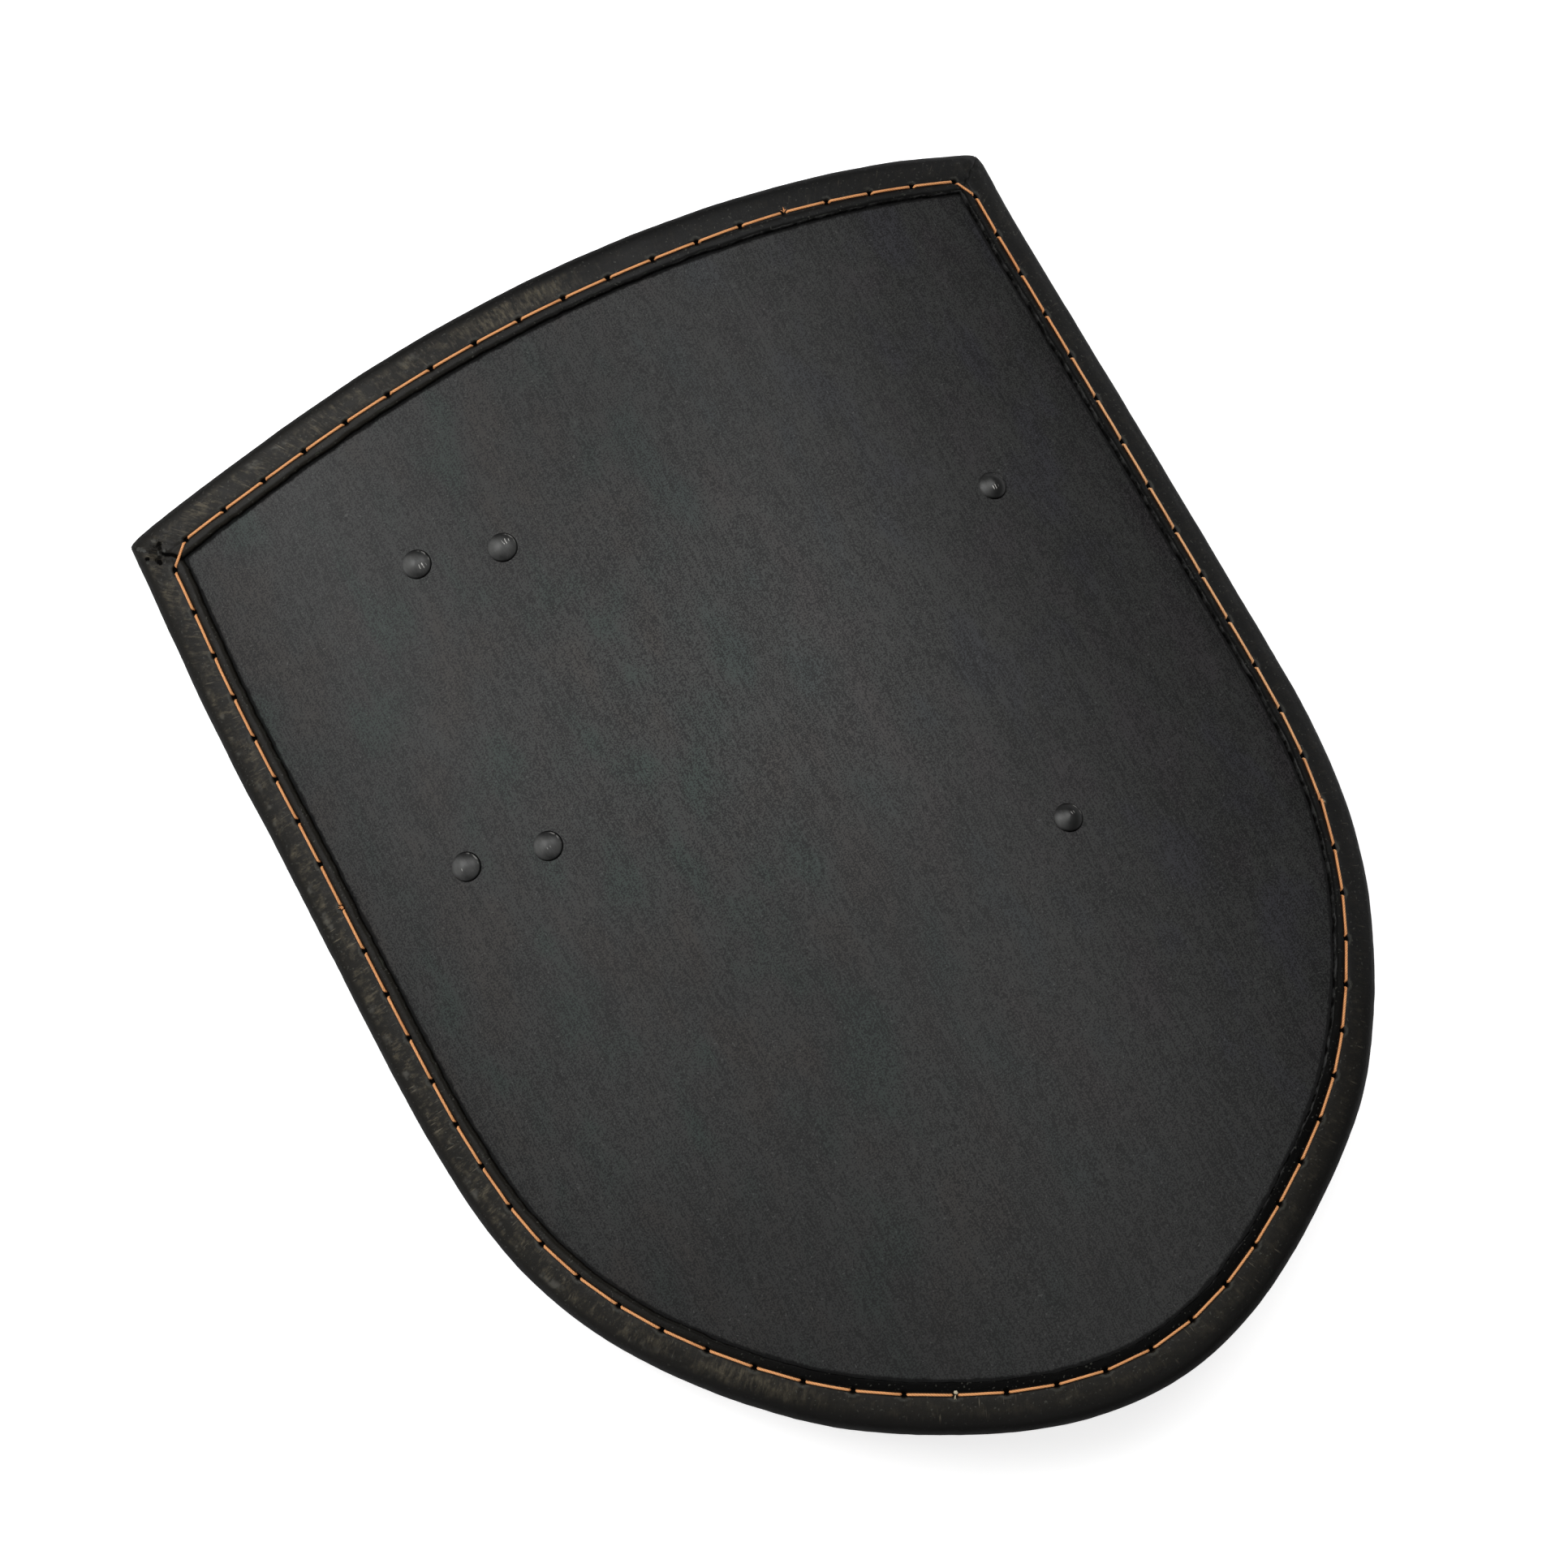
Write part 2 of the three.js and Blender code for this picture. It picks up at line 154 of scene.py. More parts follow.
# What the sewing leaves in the leather round each hole
HOLE_REACH = 9 * MM
PIT_DEPTH = 1.3 * MM
KNOT_PIT_SHARE = 0.4  # what a knot leaves open of its hole
PULL_DEPTH = 0.16 * MM
PULL_REACH = 4.5 * MM
RING_HEIGHT = 0.34 * MM
THREAD_SINK = 3.6 * MM
THREAD_WANDER = 0.12 * MM
STITCH_PHASE = 0.37  # turns each stitch's twist against the one before
LAP_ASIDE = 0.75 * MM  # a lapped end lies this far beside the stitch under it

# Hand work on the rivets and the straps
HEAD_LEAN = 0.05
HEAD_DENT = 0.14 * MM
HEAD_LIFT = 0.1 * MM
HEAD_EDGE_ROUND = 0.3 * MM
STRAP_EDGE_ROUND = 0.7 * MM
STRAP_CREASE = 0.3 * MM
STRAP_PRESS = 0.5 * MM
STRAP_WAVE = 0.2 * MM

# Shades that the finishes add to the user's colours
BOARD_LIT_PAINT = (0.012, 0.012, 0.012)  # a painted highlight on the paint and on the strokes over the middle of the face
BOARD_LIT_RUB = (0.068, 0.070, 0.067)
BOARD_DIM_PAINT = (0.0, 0.0, 0.0)  # painted shade on the same, by the tip and at the lower left
BOARD_DIM_RUB = (0.012, 0.012, 0.012)
BOARD_COOL = ((0.80, 1.17, 1.05), (0.96, 0.92, 1.16))  # tints of the paint at the left and at the right
BOARD_WARM = ((1.15, 0.97, 0.89), (1.09, 0.94, 1.07))
BOARD_GLINT = (0.13, 0.13, 0.125)
# a painted shadow on the board along the leather's inner edge
BOARD_EDGE_SHADOW = (0.002, 0.002, 0.002)
LEATHER_LINE = (0.15, 0.13, 0.095)
LEATHER_SHEEN = (0.11, 0.105, 0.090)
LEATHER_INNER = (0.050, 0.058, 0.042)
LEATHER_SHADE = (0.0010, 0.0010, 0.0010)
LEATHER_RAISED = (0.050, 0.050, 0.042)
LEATHER_SPECK = (0.10, 0.10, 0.085)
LEATHER_FOLD = (0.0022, 0.0021, 0.0021)
LEATHER_LOW_FOLD = (0.0024, 0.0022, 0.0020)
# a painted highlight on the leather's cut edge, strongest on the right
LEATHER_EDGE_HIGHLIGHT = (0.046, 0.046, 0.045)
# painted shade in the awl holes, the corner notches and the joint, and painted shadow under the left
# corner's flap
LEATHER_HOLLOW_SHADE = (0.0008, 0.0007, 0.0006)
LEATHER_GLEAM = (0.075, 0.076, 0.070)
# a paler painted highlight on the thread along the right side
THREAD_LIT = (0.95, 0.62, 0.33)
WAX_THIN = (0.07, 0.08, 0.055)
WAX_THICK = (0.62, 0.55, 0.40)
# a painted highlight across the middle of each rivet head
RIVET_HIGHLIGHT = (0.100, 0.101, 0.098)
# painted shade on the right-hand heads
RIVET_SHADE = (0.004, 0.004, 0.004)
# painted shade round each head's rim
RIVET_RIM_SHADE = (0.001, 0.001, 0.001)
STRAP_WORN = (0.060, 0.034, 0.020)
WHITE = (1, 1, 1)

# Waves that draw the thread's plies and the scratches on a rivet
PLY_TWIST = 4200.0  # radians a metre, along the thread
PLY_COUNT = 3.0
SCRATCH_WAVE = 3900.0  # radians a metre, across the head

# Directions on a rivet's head, across and up; the left and top ones place its painted highlight and painted
# shade
HEAD_RIGHT = (0.93, 0.37)
HEAD_LEFT = (-0.877, 0.476)
HEAD_TOP = (0.450, 0.862)

# Where each lamp stands; each is aimed at the middle of the floor
LAMPS = {
    "key": (-1.0, 1.0, 1.6),
    "over": (-0.6, 0.3, 2.0),
    "right": (0.8, 0.65, 1.9),
    "near": (0.55, -0.15, 2.0),
    "low": (-2.0, -0.7, 0.7),
    "front": (-0.3, -1.5, 1.4),
}
LAMP_SIZE = 1.2
FLOOR_HALF_WIDTH = 6
SENSOR_WIDTH = 36


def length(name, default, description):
    """A length that a user can set."""
    return bpy.props.FloatProperty(
        name=name, description=description, default=default, unit="LENGTH", precision=5
    )


def share(name, default, description):
    """A plain number that a user can set."""
    return bpy.props.FloatProperty(name=name, description=description, default=default, precision=3)


def count(name, default, description):
    """A whole number that a user can set."""
    return bpy.props.IntProperty(name=name, description=description, default=default, min=1)


def colour(name, default, description):
    """A colour that a user can set."""
    return bpy.props.FloatVectorProperty(
        name=name, description=description, default=default, subtype="COLOR", size=3, min=0, max=1
    )


class ShieldSizes(bpy.types.PropertyGroup):
    """Sizes of the board, the rim, the sewing, the rivets and the straps."""

    drop: length("Drop", 0.620, "From the line of the top corners to the tip, over the rim")
    top_rise: length("Top rise", 0.022, "How far the top edge arches above the corners")
    corner_half_width: length("Corner half-width", 0.2575, "From the middle line to a top corner")
    body_half_width: length("Body half-width", 0.2615, "From the middle line to the fullest place")
    straight_drop: length("Straight drop", 0.325, "From the corners to where the sides turn in")
    shoulder_power: share("Shoulder power", 2.27, "A higher power keeps the sides out for longer")
    tip_taper: share("Tip taper", 0.27, "Share by which the tip is narrower than a round one")
    tip_taper_power: share("Tip taper power", 3, "A higher power keeps the taper nearer the tip")
    bend_radius: length("Bend radius", 0.600, "Of the middle of the board's thickness")
    board_thickness: length("Board thickness", 0.007, "Thickness of the bent board")
    leather_thickness: length("Leather thickness", 0.0026, "Thickness of the folded rim strips")
    rim_width: length("Rim width", 0.025, "Leather on each face, from the outer edge inwards")
    gap: length("Gap", 0.0003, "Left between pieces that touch")
    mitre_reach: length("Mitre reach", 0.130, "How far cross lines lean towards a corner's mitre")
    mitre_overlap: length("Mitre overlap", 0.0005, "How far the strips push into each other at a mitre")
    seam_margin: length("Seam margin", 0.006, "From the strip's inner edge to the row of holes")
    corner_cut: length("Corner cut", 0.010, "From the seam's corner to the short stitch across it")
    left_corner_cut: length("Left corner cut", 0.0083, "The same at the left corner")
    top_drift: length("Top drift", 0.0024, "How far the top's sewing sits to the right of even")
    seam_wander: length("Seam wander", 0.0015, "How far the sewing strays outwards by the top knot")
    stitch_drift: share("Stitch drift", 1.05, "Stitches by which the side sewing runs ahead")
    top_stitches: count("Top stitches", 18, "Stitches along the top edge")
    side_stitches: count("Side stitches", 56, "Stitches round the sides and the tip")
    to_top_knot: count("Stitches to the top knot", 14, "From the left end of the top")
    right_stitches: count("Right stitches", 14, "From the right corner to the next knot")
    lower_stitches: count("Lower stitches", 17, "In each of the two lower lengths of thread")
    thread_diameter: length("Thread diameter", 0.00145, "Of the waxed sewing thread")
    hole_length: length("Hole length", 0.0038, "Length of each awl hole, along the seam")
    hole_width: length("Hole width", 0.0023, "Width of each awl hole, across the seam")
    groove_depth: length("Groove depth", 0.00035, "How deep the thread beds into the leather")
    head_diameter: length("Head diameter", 0.0155, "Of the domed rivet heads")
    head_height: length("Head height", 0.004, "Of the domed rivet heads")
    shank_diameter: length("Shank diameter", 0.005, "Of the rivets")
    tail_diameter: length("Tail diameter", 0.010, "Of the rivets' clenched ends")
    tail_height: length("Tail height", 0.0018, "Of the rivets' clenched ends")
    strap_width: length("Strap width", 0.038, "Of the two straps behind the board")
    strap_thickness: length("Strap thickness", 0.0035, "Of the two straps behind the board")
    strap_end: length("Strap end", 0.017, "From the last rivet to the strap's end")
    strap_landing: length("Strap landing", 0.019, "Flat stretch before a strap leaves the board")
    strap_floor_gap: length("Strap floor gap", 0.012, "Height of the bowed strap over the ground")
    strap_bow_power: share("Strap bow power", 1.5, "A higher power keeps the strap by the board")
    strap_end_round: length("Strap end round", 0.015, "Length of the rounded stretch at each end")
    strap_end_share: share("Strap end share", 0.4, "Width left at a strap's very end, as a share")


class ShieldColours(bpy.types.PropertyGroup):
    """Colours of the finishes."""

    board_paint: colour("Board paint", (0.007, 0.007, 0.007), "The matt black face")
    board_pit: colour("Board pits", (0.006, 0.006, 0.006), "Tiny pits in the paint")
    board_rub: colour("Board rub", (0.0305, 0.0312, 0.0300), "Fine pale strokes in the paint")
    leather: colour("Leather", (0.0035, 0.0035, 0.0033), "The dyed rim leather")
    # lighter on the worn left side partly from real wear and partly as painted light
    leather_warm: colour("Worn leather", (0.0105, 0.0088, 0.0056), "The leather on the worn side and end")
    leather_scuff: colour("Leather scuff", (0.085, 0.072, 0.048), "Where the dye is rubbed thin")
    thread: colour("Thread", (0.95, 0.44, 0.17), "The waxed thread")
    thread_dark: colour("Thread shadow", (0.42, 0.12, 0.030), "Between the thread's twisted plies")
    rivet_paint: colour("Rivet paint", (0.018, 0.018, 0.0177), "Paint on the rivet heads")
    rivet_steel: colour("Rivet steel", (0.62, 0.61, 0.58), "Steel where the paint is scratched")
    strap: colour("Strap", (0.030, 0.016, 0.009), "The straps' grain side")
    strap_edge: colour("Strap edge", (0.008, 0.005, 0.004), "The straps' burnished edges")


class ShieldStage(bpy.types.PropertyGroup):
    """The camera, the lights and the floor."""

    camera_place: bpy.props.FloatVectorProperty(
        name="Camera place",
        description="Where the camera stands",
        default=(-0.27789, -0.23749, 1.53046),
        subtype="TRANSLATION",
        size=3,
    )
    camera_turn: bpy.props.FloatVectorProperty(
        name="Camera turn",
        description="How the camera is turned",
        default=tuple(math.radians(angle) for angle in (13.5566, -3.9854, -28.5135)),
        subtype="EULER",
        size=3,
    )
    lens: share("Lens", 70, "Focal length in millimetres, on a sensor 36 mm wide")
    floor: colour("Floor", (0.86, 0.86, 0.86), "The plain pale floor")
    floor_glow: share("Floor glow", 0.69, "Light of the floor's own, as from a lit table")
    key_power: share("Key power", 20, "Watts of the soft light beyond the top left corner")
    over_power: share("Over power", 4, "Watts of the soft light over the left half")
    right_power: share("Right power", 14, "Watts of the wide light at the right")
    near_power: share("Near power", 4, "Watts of the soft light over the right half")
    low_power: share("Low power", 3, "Watts of the low wide light at the lower left")
    front_power: share("Front power", 3, "Watts of the wide light before the tip")
    sky: share("Sky", 0.05, "Brightness of the white room around")


class Pattern:
    """The flat pattern of the shield, the strips' routes on it, and the bend."""

    def __init__(self, size):
        self.size = size
        self.board_half = size.board_thickness / 2
        self.rim_inner = self.board_half + size.gap
        self.rim_outer = self.rim_inner + size.leather_thickness
        self.seam_inset = size.rim_width - size.seam_margin
        self.fold_half = math.pi / 2 * self.rim_outer
        self.strip_half = self.fold_half + size.rim_width - self.rim_outer
        self.seam_across = self.strip_half - size.seam_margin
        self.top_radius = (size.corner_half_width**2 + size.top_rise**2) / (2 * size.top_rise)
        turn = (size.body_half_width - self.rim_outer) / size.bend_radius
        self.rest_height = size.bend_radius * (1 - math.cos(turn)) + self.rim_outer
        self.length_shift = (size.drop - size.top_rise) / 2
        stack = self.board_half + size.gap + size.strap_thickness + size.strap_floor_gap
        self.strap_bow = self.rest_height - stack
        self.corner = self.corner_point(0)
        self.mitre = (self.corner_point(size.rim_width) - self.corner).normalized()

    def bend(self, place, height):
        """A pattern place on the bent board, in the frame."""
        for centre, shift, reach in HAND_SHIFTS:
            place = place + Vector(shift) * bump((place - Vector(centre)).length, reach)
        angle = place.x / self.size.bend_radius
        radius = self.size.bend_radius + height
        level = radius * math.cos(angle) - self.size.bend_radius + self.rest_height
        return Vector((radius * math.sin(angle), self.length_shift - place.y, level))

    def half_width(self, down):
        """Half-width of the outline at a distance down from the corner line."""
        size = self.size
        if down < size.straight_drop:
            up = (size.straight_drop - down) / size.straight_drop
            return size.body_half_width - (size.body_half_width - size.corner_half_width) * up**2
        part = min((down - size.straight_drop) / (size.drop - size.straight_drop), 1)
        taper = 1 - size.tip_taper * part**size.tip_taper_power
        return size.body_half_width * math.sqrt(1 - part**size.shoulder_power) * taper

    def side_point(self, up):
        """The right-hand side of the outline, from the tip at 0 to the corner at 1."""
        down = self.size.drop * (1 - up**2)
        return Vector((self.half_width(down), down))

    def side_inward(self, up):
        """Unit vector from the right-hand side into the shield."""
        if up < TANGENT_STEP:
            return Vector((0, -1))
        along = self.side_point(min(up + TANGENT_STEP, 1)) - self.side_point(up - TANGENT_STEP)
        along.normalize()
        return Vector((along.y, -along.x))

    def top_down(self, across, inset):
        """The top edge, moved inwards by an inset."""
        radius = self.top_radius - inset
        return self.top_radius - self.size.top_rise - math.sqrt(radius**2 - across**2)

    def corner_point(self, inset):
        """The right-hand top corner, moved inwards by an inset along the mitre."""
        side = self.side_inward(1)
        slope = math.asin(self.size.corner_half_width / self.top_radius)
        top = Vector((-math.sin(slope), math.cos(slope)))
        mitre = (side + top) / (1 + side.dot(top))
        return Vector((self.size.corner_half_width, 0)) + mitre * inset

    def top_route(self, part, inset):
        """A place on the top strip: 0 to 1 from the left corner to the right one."""
        across = (2 * part - 1) * (self.corner_point(inset).x + self.size.mitre_overlap)
        return Vector((across, self.top_down(across, inset)))

    def side_route(self, part, inset):
        """A place on the side strip: 0 to 1 from the right corner round the tip to the left one."""
        up = abs(1 - 2 * part)
        outer = self.side_point(up)
        place = outer + self.side_inward(up) * inset
        lean = max(0, 1 - outer.y / self.size.mitre_reach)
        place.y += (self.corner_point(inset).y - self.size.mitre_overlap - (place.y - outer.y)) * lean
        if part > 0.5:
            place.x = -place.x
        return place

    def folded(self, across, thick):
        """Inset and height of a place across the strip, once it is folded over the board's edge."""
        radius = self.rim_inner + thick
        if abs(across) < self.fold_half:
            turn = across / self.rim_outer
            return self.rim_outer - radius * math.cos(turn), radius * math.sin(turn)
        return self.rim_outer + abs(across) - self.fold_half, math.copysign(radius, across)

    def holes(self):
        """Every hole of the seam, from the left end of the top, over the top and down the right side."""
        size = self.size
        corner = self.corner_point(self.seam_inset)
        reach = corner.x - size.corner_cut
        places = []
        for i in range(size.top_stitches + 1):
            across = reach * (2 * i / size.top_stitches - 1) + size.top_drift
            inset = self.seam_inset - size.seam_wander * bump(i - size.to_top_knot, 2)
            places.append(Vector((across, self.top_down(across, inset))))
        right = math.sqrt(1 - (corner.y + size.corner_cut) / size.drop)
        left = math.sqrt(1 - (corner.y + size.left_corner_cut) / size.drop)
        path = []
        for i in range(ROUTE_SAMPLES + 1):
            along = right - (right + left) * i / ROUTE_SAMPLES
            place = self.side_point(abs(along)) + self.side_inward(abs(along)) * self.seam_inset
            path.append(place if along > 0 else Vector((-place.x, place.y)))
        runs = running_lengths(path)
        for i in range(size.side_stitches + 1):
            part = min((i + self.drift(i)) / size.side_stitches, 1)
            places.append(place_at(path, runs, runs[-1] * part))
        return places

    def drift(self, i):
        """How many stitches the side sewing has run ahead of even spacing: long ones come first."""
        total = self.size.side_stitches
        won = ease(i, 1, total * LEAD_WON_BY)
        kept = 1 - LEAD_LOST_SHARE * ease(i, total * LEAD_LOST[0], total * LEAD_LOST[1])
        return self.size.stitch_drift * won * kept * (1 - 0.8 * ease(i, total - 6, total))

    def thread_runs(self):
        """The first hole and the number of stitches of each length of thread, by its name."""
        size = self.size
        total = size.top_stitches + size.side_stitches + 2
        lower_start = size.top_stitches + 1 + size.right_stitches
        left_start = lower_start + 2 * size.lower_stitches
        return {
            "thread_right": (size.to_top_knot, lower_start - size.to_top_knot),
            "thread_lower_right": (lower_start, size.lower_stitches),
            "thread_lower_left": (lower_start + size.lower_stitches, size.lower_stitches),
            "thread_top_left": (left_start, total - left_start + size.to_top_knot),
        }


def running_lengths(path):
    """The length run from the start of a path to each of its points."""
    runs = [0.0]
    for before, after in zip(path, path[1:]):
        runs.append(runs[-1] + (after - before).length)
    return runs


def section_at(runs, run):
    """The number of the path's section that a length run ends in, and the share of that section."""
    i = min(max(bisect.bisect_right(runs, run), 1), len(runs) - 1)
    return i, (run - runs[i - 1]) / (runs[i] - runs[i - 1])


def place_at(path, runs, run):
    """The point of a path at a length run along it."""
    i, part = section_at(runs, run)
    return path[i - 1].lerp(path[i], part)


def tree_of(places):
    """A tree that finds the nearest of some pattern places."""
    tree = KDTree(len(places))
    for i, place in enumerate(places):
        tree.insert(place.to_3d(), i)
    tree.balance()
    return tree


def waver(x, y, z):
    """Smooth noise, from about -1 to 1."""
    return noise.noise(Vector((x, y, z)))


def bump(distance, width):
    """A round bump: 1 in its middle, near 0 beyond twice its width."""
    return math.exp(-((distance / width) ** 2))


def ease(value, low, high):
    """Goes smoothly from 0 at low to 1 at high."""
    part = min(max((value - low) / (high - low), 0), 1)
    return part * part * (3 - 2 * part)


class Strip:
    """One rim strip's route round the board, with lengths measured along its row of holes."""

    def __init__(self, pattern, route):
        self.pattern = pattern
        self.route = route
        path = [route(i / ROUTE_SAMPLES, pattern.seam_inset) for i in range(ROUTE_SAMPLES + 1)]
        self.runs = running_lengths(path)
        self.length = self.runs[-1]
        self.tree = tree_of(path)

    def part_at(self, run):
        """The route's share at a length run along the row of holes."""
        i, part = section_at(self.runs, run)
        return min(max((i - 1 + part) / ROUTE_SAMPLES, 0), 1)

    def stations(self, holes):
        """Where the strip's mesh has its cross lines, close together at each hole."""
        at_holes = sorted(self.runs[self.tree.find(hole.to_3d())[1]] for hole in holes)
        lead = math.ceil((at_holes[0] + HOLE_STATIONS[0]) / END_STATION)
        stations = [(at_holes[0] + HOLE_STATIONS[0]) * i / lead for i in range(lead)]
        for before, after in zip(at_holes, at_holes[1:]):
            stations += [before + offset for offset in HOLE_STATIONS]
            start = before + HOLE_STATIONS[-1]
            step = (after + HOLE_STATIONS[0] - start) / (BETWEEN_STATIONS + 1)
            stations += [start + step * (i + 1) for i in range(BETWEEN_STATIONS)]
        stations += [at_holes[-1] + offset for offset in HOLE_STATIONS]
        tail = self.length - stations[-1]
        steps = math.ceil(tail / END_STATION)
        stations += [stations[-1] + tail * (i + 1) / steps for i in range(steps)]
        return stations


class Seam:
    """The holes with the direction of the sewing at each, for the marks they leave in the leather."""

    def __init__(self, pattern):
        self.holes = pattern.holes()
        self.knots = {first for first, _ in pattern.thread_runs().values()}
        self.tree = tree_of(self.holes)
        after = self.holes[1:] + self.holes[:1]
        self.alongs = [(after[i] - self.holes[i - 1]).normalized() for i in range(len(after))]

    def relief(self, place, size):
        """How far the leather stands up by the nearest hole, and its mark: a hole over 0, a lip under 0."""
        _, i, distance = self.tree.find(place.to_3d())
        if distance > HOLE_REACH:
            return 0.0, 0.0
        offset = place - self.holes[i]
        along = offset.dot(self.alongs[i])
        outward = offset.x * self.alongs[i].y - offset.y * self.alongs[i].x
        reach = math.hypot(along / (size.hole_length / 2), outward / (size.hole_width / 2))
        pit = math.exp(-(reach**4)) * (KNOT_PIT_SHARE if i in self.knots else 1)
        pull = PULL_DEPTH * bump(distance, PULL_REACH)
        ring = RING_HEIGHT * bump(distance - 2.5 * MM, 0.6 * MM) * ease(abs(outward), 0.4 * MM, 1.6 * MM)
        raised = bump(distance - 2.7 * MM, 0.7 * MM) * ease(outward, 0.4 * MM, 1.6 * MM)
        return ring - PIT_DEPTH * pit - pull, pit - 0.8 * raised


class EdgeLine:
    """The leather's inner edge on the pattern, for distances from it."""

    def __init__(self, pattern):
        inset = pattern.size.rim_width
        routes = (pattern.top_route, pattern.side_route)
        parts = [i / ROUTE_SAMPLES for i in range(ROUTE_SAMPLES + 1)]
        self.places = [route(part, inset) for route in routes for part in parts]
        self.inner = [route(part, inset + 2 * MM) for route in routes for part in parts]
        self.tree = tree_of(self.places)

    def beyond(self, place):
        """How far a place lies inwards of the edge, or less than zero under the leather."""
        _, i, distance = self.tree.find(place.to_3d())
        inwards = self.inner[i] - self.places[i]
        return math.copysign(distance, (place - self.places[i]).dot(inwards))


def finished(name, bm, material, nodes):
    """Makes the piece's object, which stands for its CAD node and rides on the shield."""
    bm.normal_update()
    bmesh.ops.recalc_face_normals(bm, faces=bm.faces[:])
    mesh = bpy.data.meshes.new(name)
    for face in bm.faces:
        face.smooth = True
    bm.to_mesh(mesh)
    bm.free()
    mesh.materials.append(material)
    piece = bpy.data.objects.new(name, mesh)
    bpy.context.scene.collection.objects.link(piece)
    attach(piece, "root")
    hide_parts(*nodes)
    return piece


def thickened(bm, thickness):
    """Gives a flat grid its thickness, from height 0 up."""
    bmesh.ops.solidify(bm, geom=bm.faces[:], thickness=thickness)
    lowest = min(v.co.z for v in bm.verts)
    bmesh.ops.translate(bm, verts=bm.verts[:], vec=(0, 0, -lowest))


def round_edges(bm, edges, radius, segments):
    """Rounds some edges of a mesh."""
    bmesh.ops.bevel(
        bm, geom=edges, offset=radius, segments=segments, profile=0.5, affect="EDGES", material=-1
    )


def sharp_edges(bm, low, high):
    """Edges with a sharp corner whose height is between low and high."""
    found = []
    for edge in bm.edges:
        inside = all(low < v.co.z < high for v in edge.verts)
        if inside and edge.calc_face_angle(0) > 1:
            found.append(edge)
    return found


def board_mesh(pattern):
    """The bent board, cut a little short of the fold so that the leather can turn round its edge."""
    size = pattern.size
    inset = pattern.rim_outer - BOARD_INTO_FOLD
    corner = pattern.corner_point(inset)
    bm = bmesh.new()
    bmesh.ops.create_grid(bm, x_segments=BOARD_COLUMNS, y_segments=BOARD_ROWS, size=1)
    thickened(bm, size.board_thickness)
    # margin: how far inside the leather's inner edge, which places the painted shadow along that edge
    margin = bm.verts.layers.float.new("margin")
    edge_line = EdgeLine(pattern)
    for v in bm.verts:
        up = max(math.sin(math.pi / 4 * (v.co.y + 1)), BOARD_TIP_SHARE)
        share_across = math.sin(math.pi / 2 * v.co.x)
        outer = pattern.side_point(up)
        edge = outer + pattern.side_inward(up) * inset
        lean = max(0, 1 - outer.y / size.mitre_reach)
        edge.y += (corner.y - (edge.y - outer.y)) * lean
        arch = pattern.top_down(share_across * corner.x, inset) - corner.y
        down = edge.y + arch * max(0, 1 - edge.y / size.straight_drop)
        place = Vector((share_across * edge.x, down))
        v[margin] = edge_line.beyond(place)
        wave = BOARD_WAVE * waver(place.x * 22, place.y * 9, v.co.z * 300)
        v.co = pattern.bend(place, v.co.z - pattern.board_half + wave)
    return bm


def rows_across(pattern):
    """Places across the flat strip, close together by the row of holes on each face."""
    seam = pattern.seam_across
    plain = seam - SEAM_ROWS[-1]
    half = [plain * i / PLAIN_ROWS for i in range(1, PLAIN_ROWS)]
    half += [seam - step for step in reversed(SEAM_ROWS)]
    half += [seam]
    half += [seam + step for step in SEAM_ROWS]
    half += [pattern.strip_half - 1.1 * MM, pattern.strip_half]
    return [-place for place in reversed(half)] + [0] + half


def corner_marks(pattern, place):
    """Lumps, creases and cuts where the two strips meet at the corners."""
    offset = Vector((abs(place.x), place.y)) - pattern.corner
    along = offset.dot(pattern.mitre)
    aside = offset.x * pattern.mitre.y - offset.y * pattern.mitre.x
    if abs(aside) > CORNER_REACH_ASIDE or along > CORNER_REACH_ALONG:
        return 0.0, 0.0
    rough = 1.0 if place.x < 0 else 0.6
    lumps = waver(place.x * 300, place.y * 300, 5.0)
    creases = 1 - 2 * abs(waver(along * 120, aside * 330, 8.0))
    near = bump(aside, 7 * MM) * ease(along, 5 * MM, 12 * MM) * (1 - ease(along, 23 * MM, 31 * MM))
    relief = rough * near * MM * (1.2 * lumps + 0.6 * creases)
    wander = 0.8 * MM * waver(along * 200, 1.0, 2.0)
    line = bump(aside - wander, 0.9 * MM)
    # cut: the crease along the joint, darkened in the leather's finish as painted shade
    if place.x < 0:
        cut = 0.8 * line * ease(along, 20 * MM, 24 * MM)
    else:
        cut = 0.3 * line * ease(along, 3 * MM, 8 * MM)
    return relief - CORNER_CREASE * line, cut


def corner_painted_marks(pattern):
    """The painted marks by the left corner's joint: each one's place in the frame, its width and its depth.
    """
    beside = Vector((pattern.mitre.y, -pattern.mitre.x))
    cuts = []
    for along, aside, reach, depth in CORNER_MARKS:
        place = pattern.corner + pattern.mitre * along * MM + beside * aside * MM
        place.x = -place.x
        cuts.append((pattern.bend(place, pattern.rim_outer), reach * MM, depth))
    return cuts


def leather_relief(pattern, seam, place, run, across):
    """How far the outer skin of the folded leather stands up from a plain even strip."""
    face = 1 if across > 0 else -1
    aside = abs(across) - pattern.seam_across
    relief = 0.0
    pit = 0.0
    if abs(across) > pattern.fold_half:
        inner = pattern.fold_half
        part = (abs(across) - inner) / (pattern.seam_across - inner)
        if part < 1:
            relief += LEG_CROWN * (1 - (2 * part - 1) ** 2)
        else:
            part = aside / pattern.size.seam_margin
            relief += LIP_CROWN * (1 - (2 * part - 1) ** 2)
        marks, pit = seam.relief(place, pattern.size)
        relief += marks
    relief -= pattern.size.groove_depth * bump(aside, 1.1 * MM)
    broad = waver(run * 38, across * 60, 3.0 * face)
    fine = waver(run * 210, across * 150, 9.0 * face)
    relief += BROAD_WAVE * broad + FINE_WAVE * fine
    marks, cut = corner_marks(pattern, place)
    return relief + marks, pit if abs(pit) > cut else cut


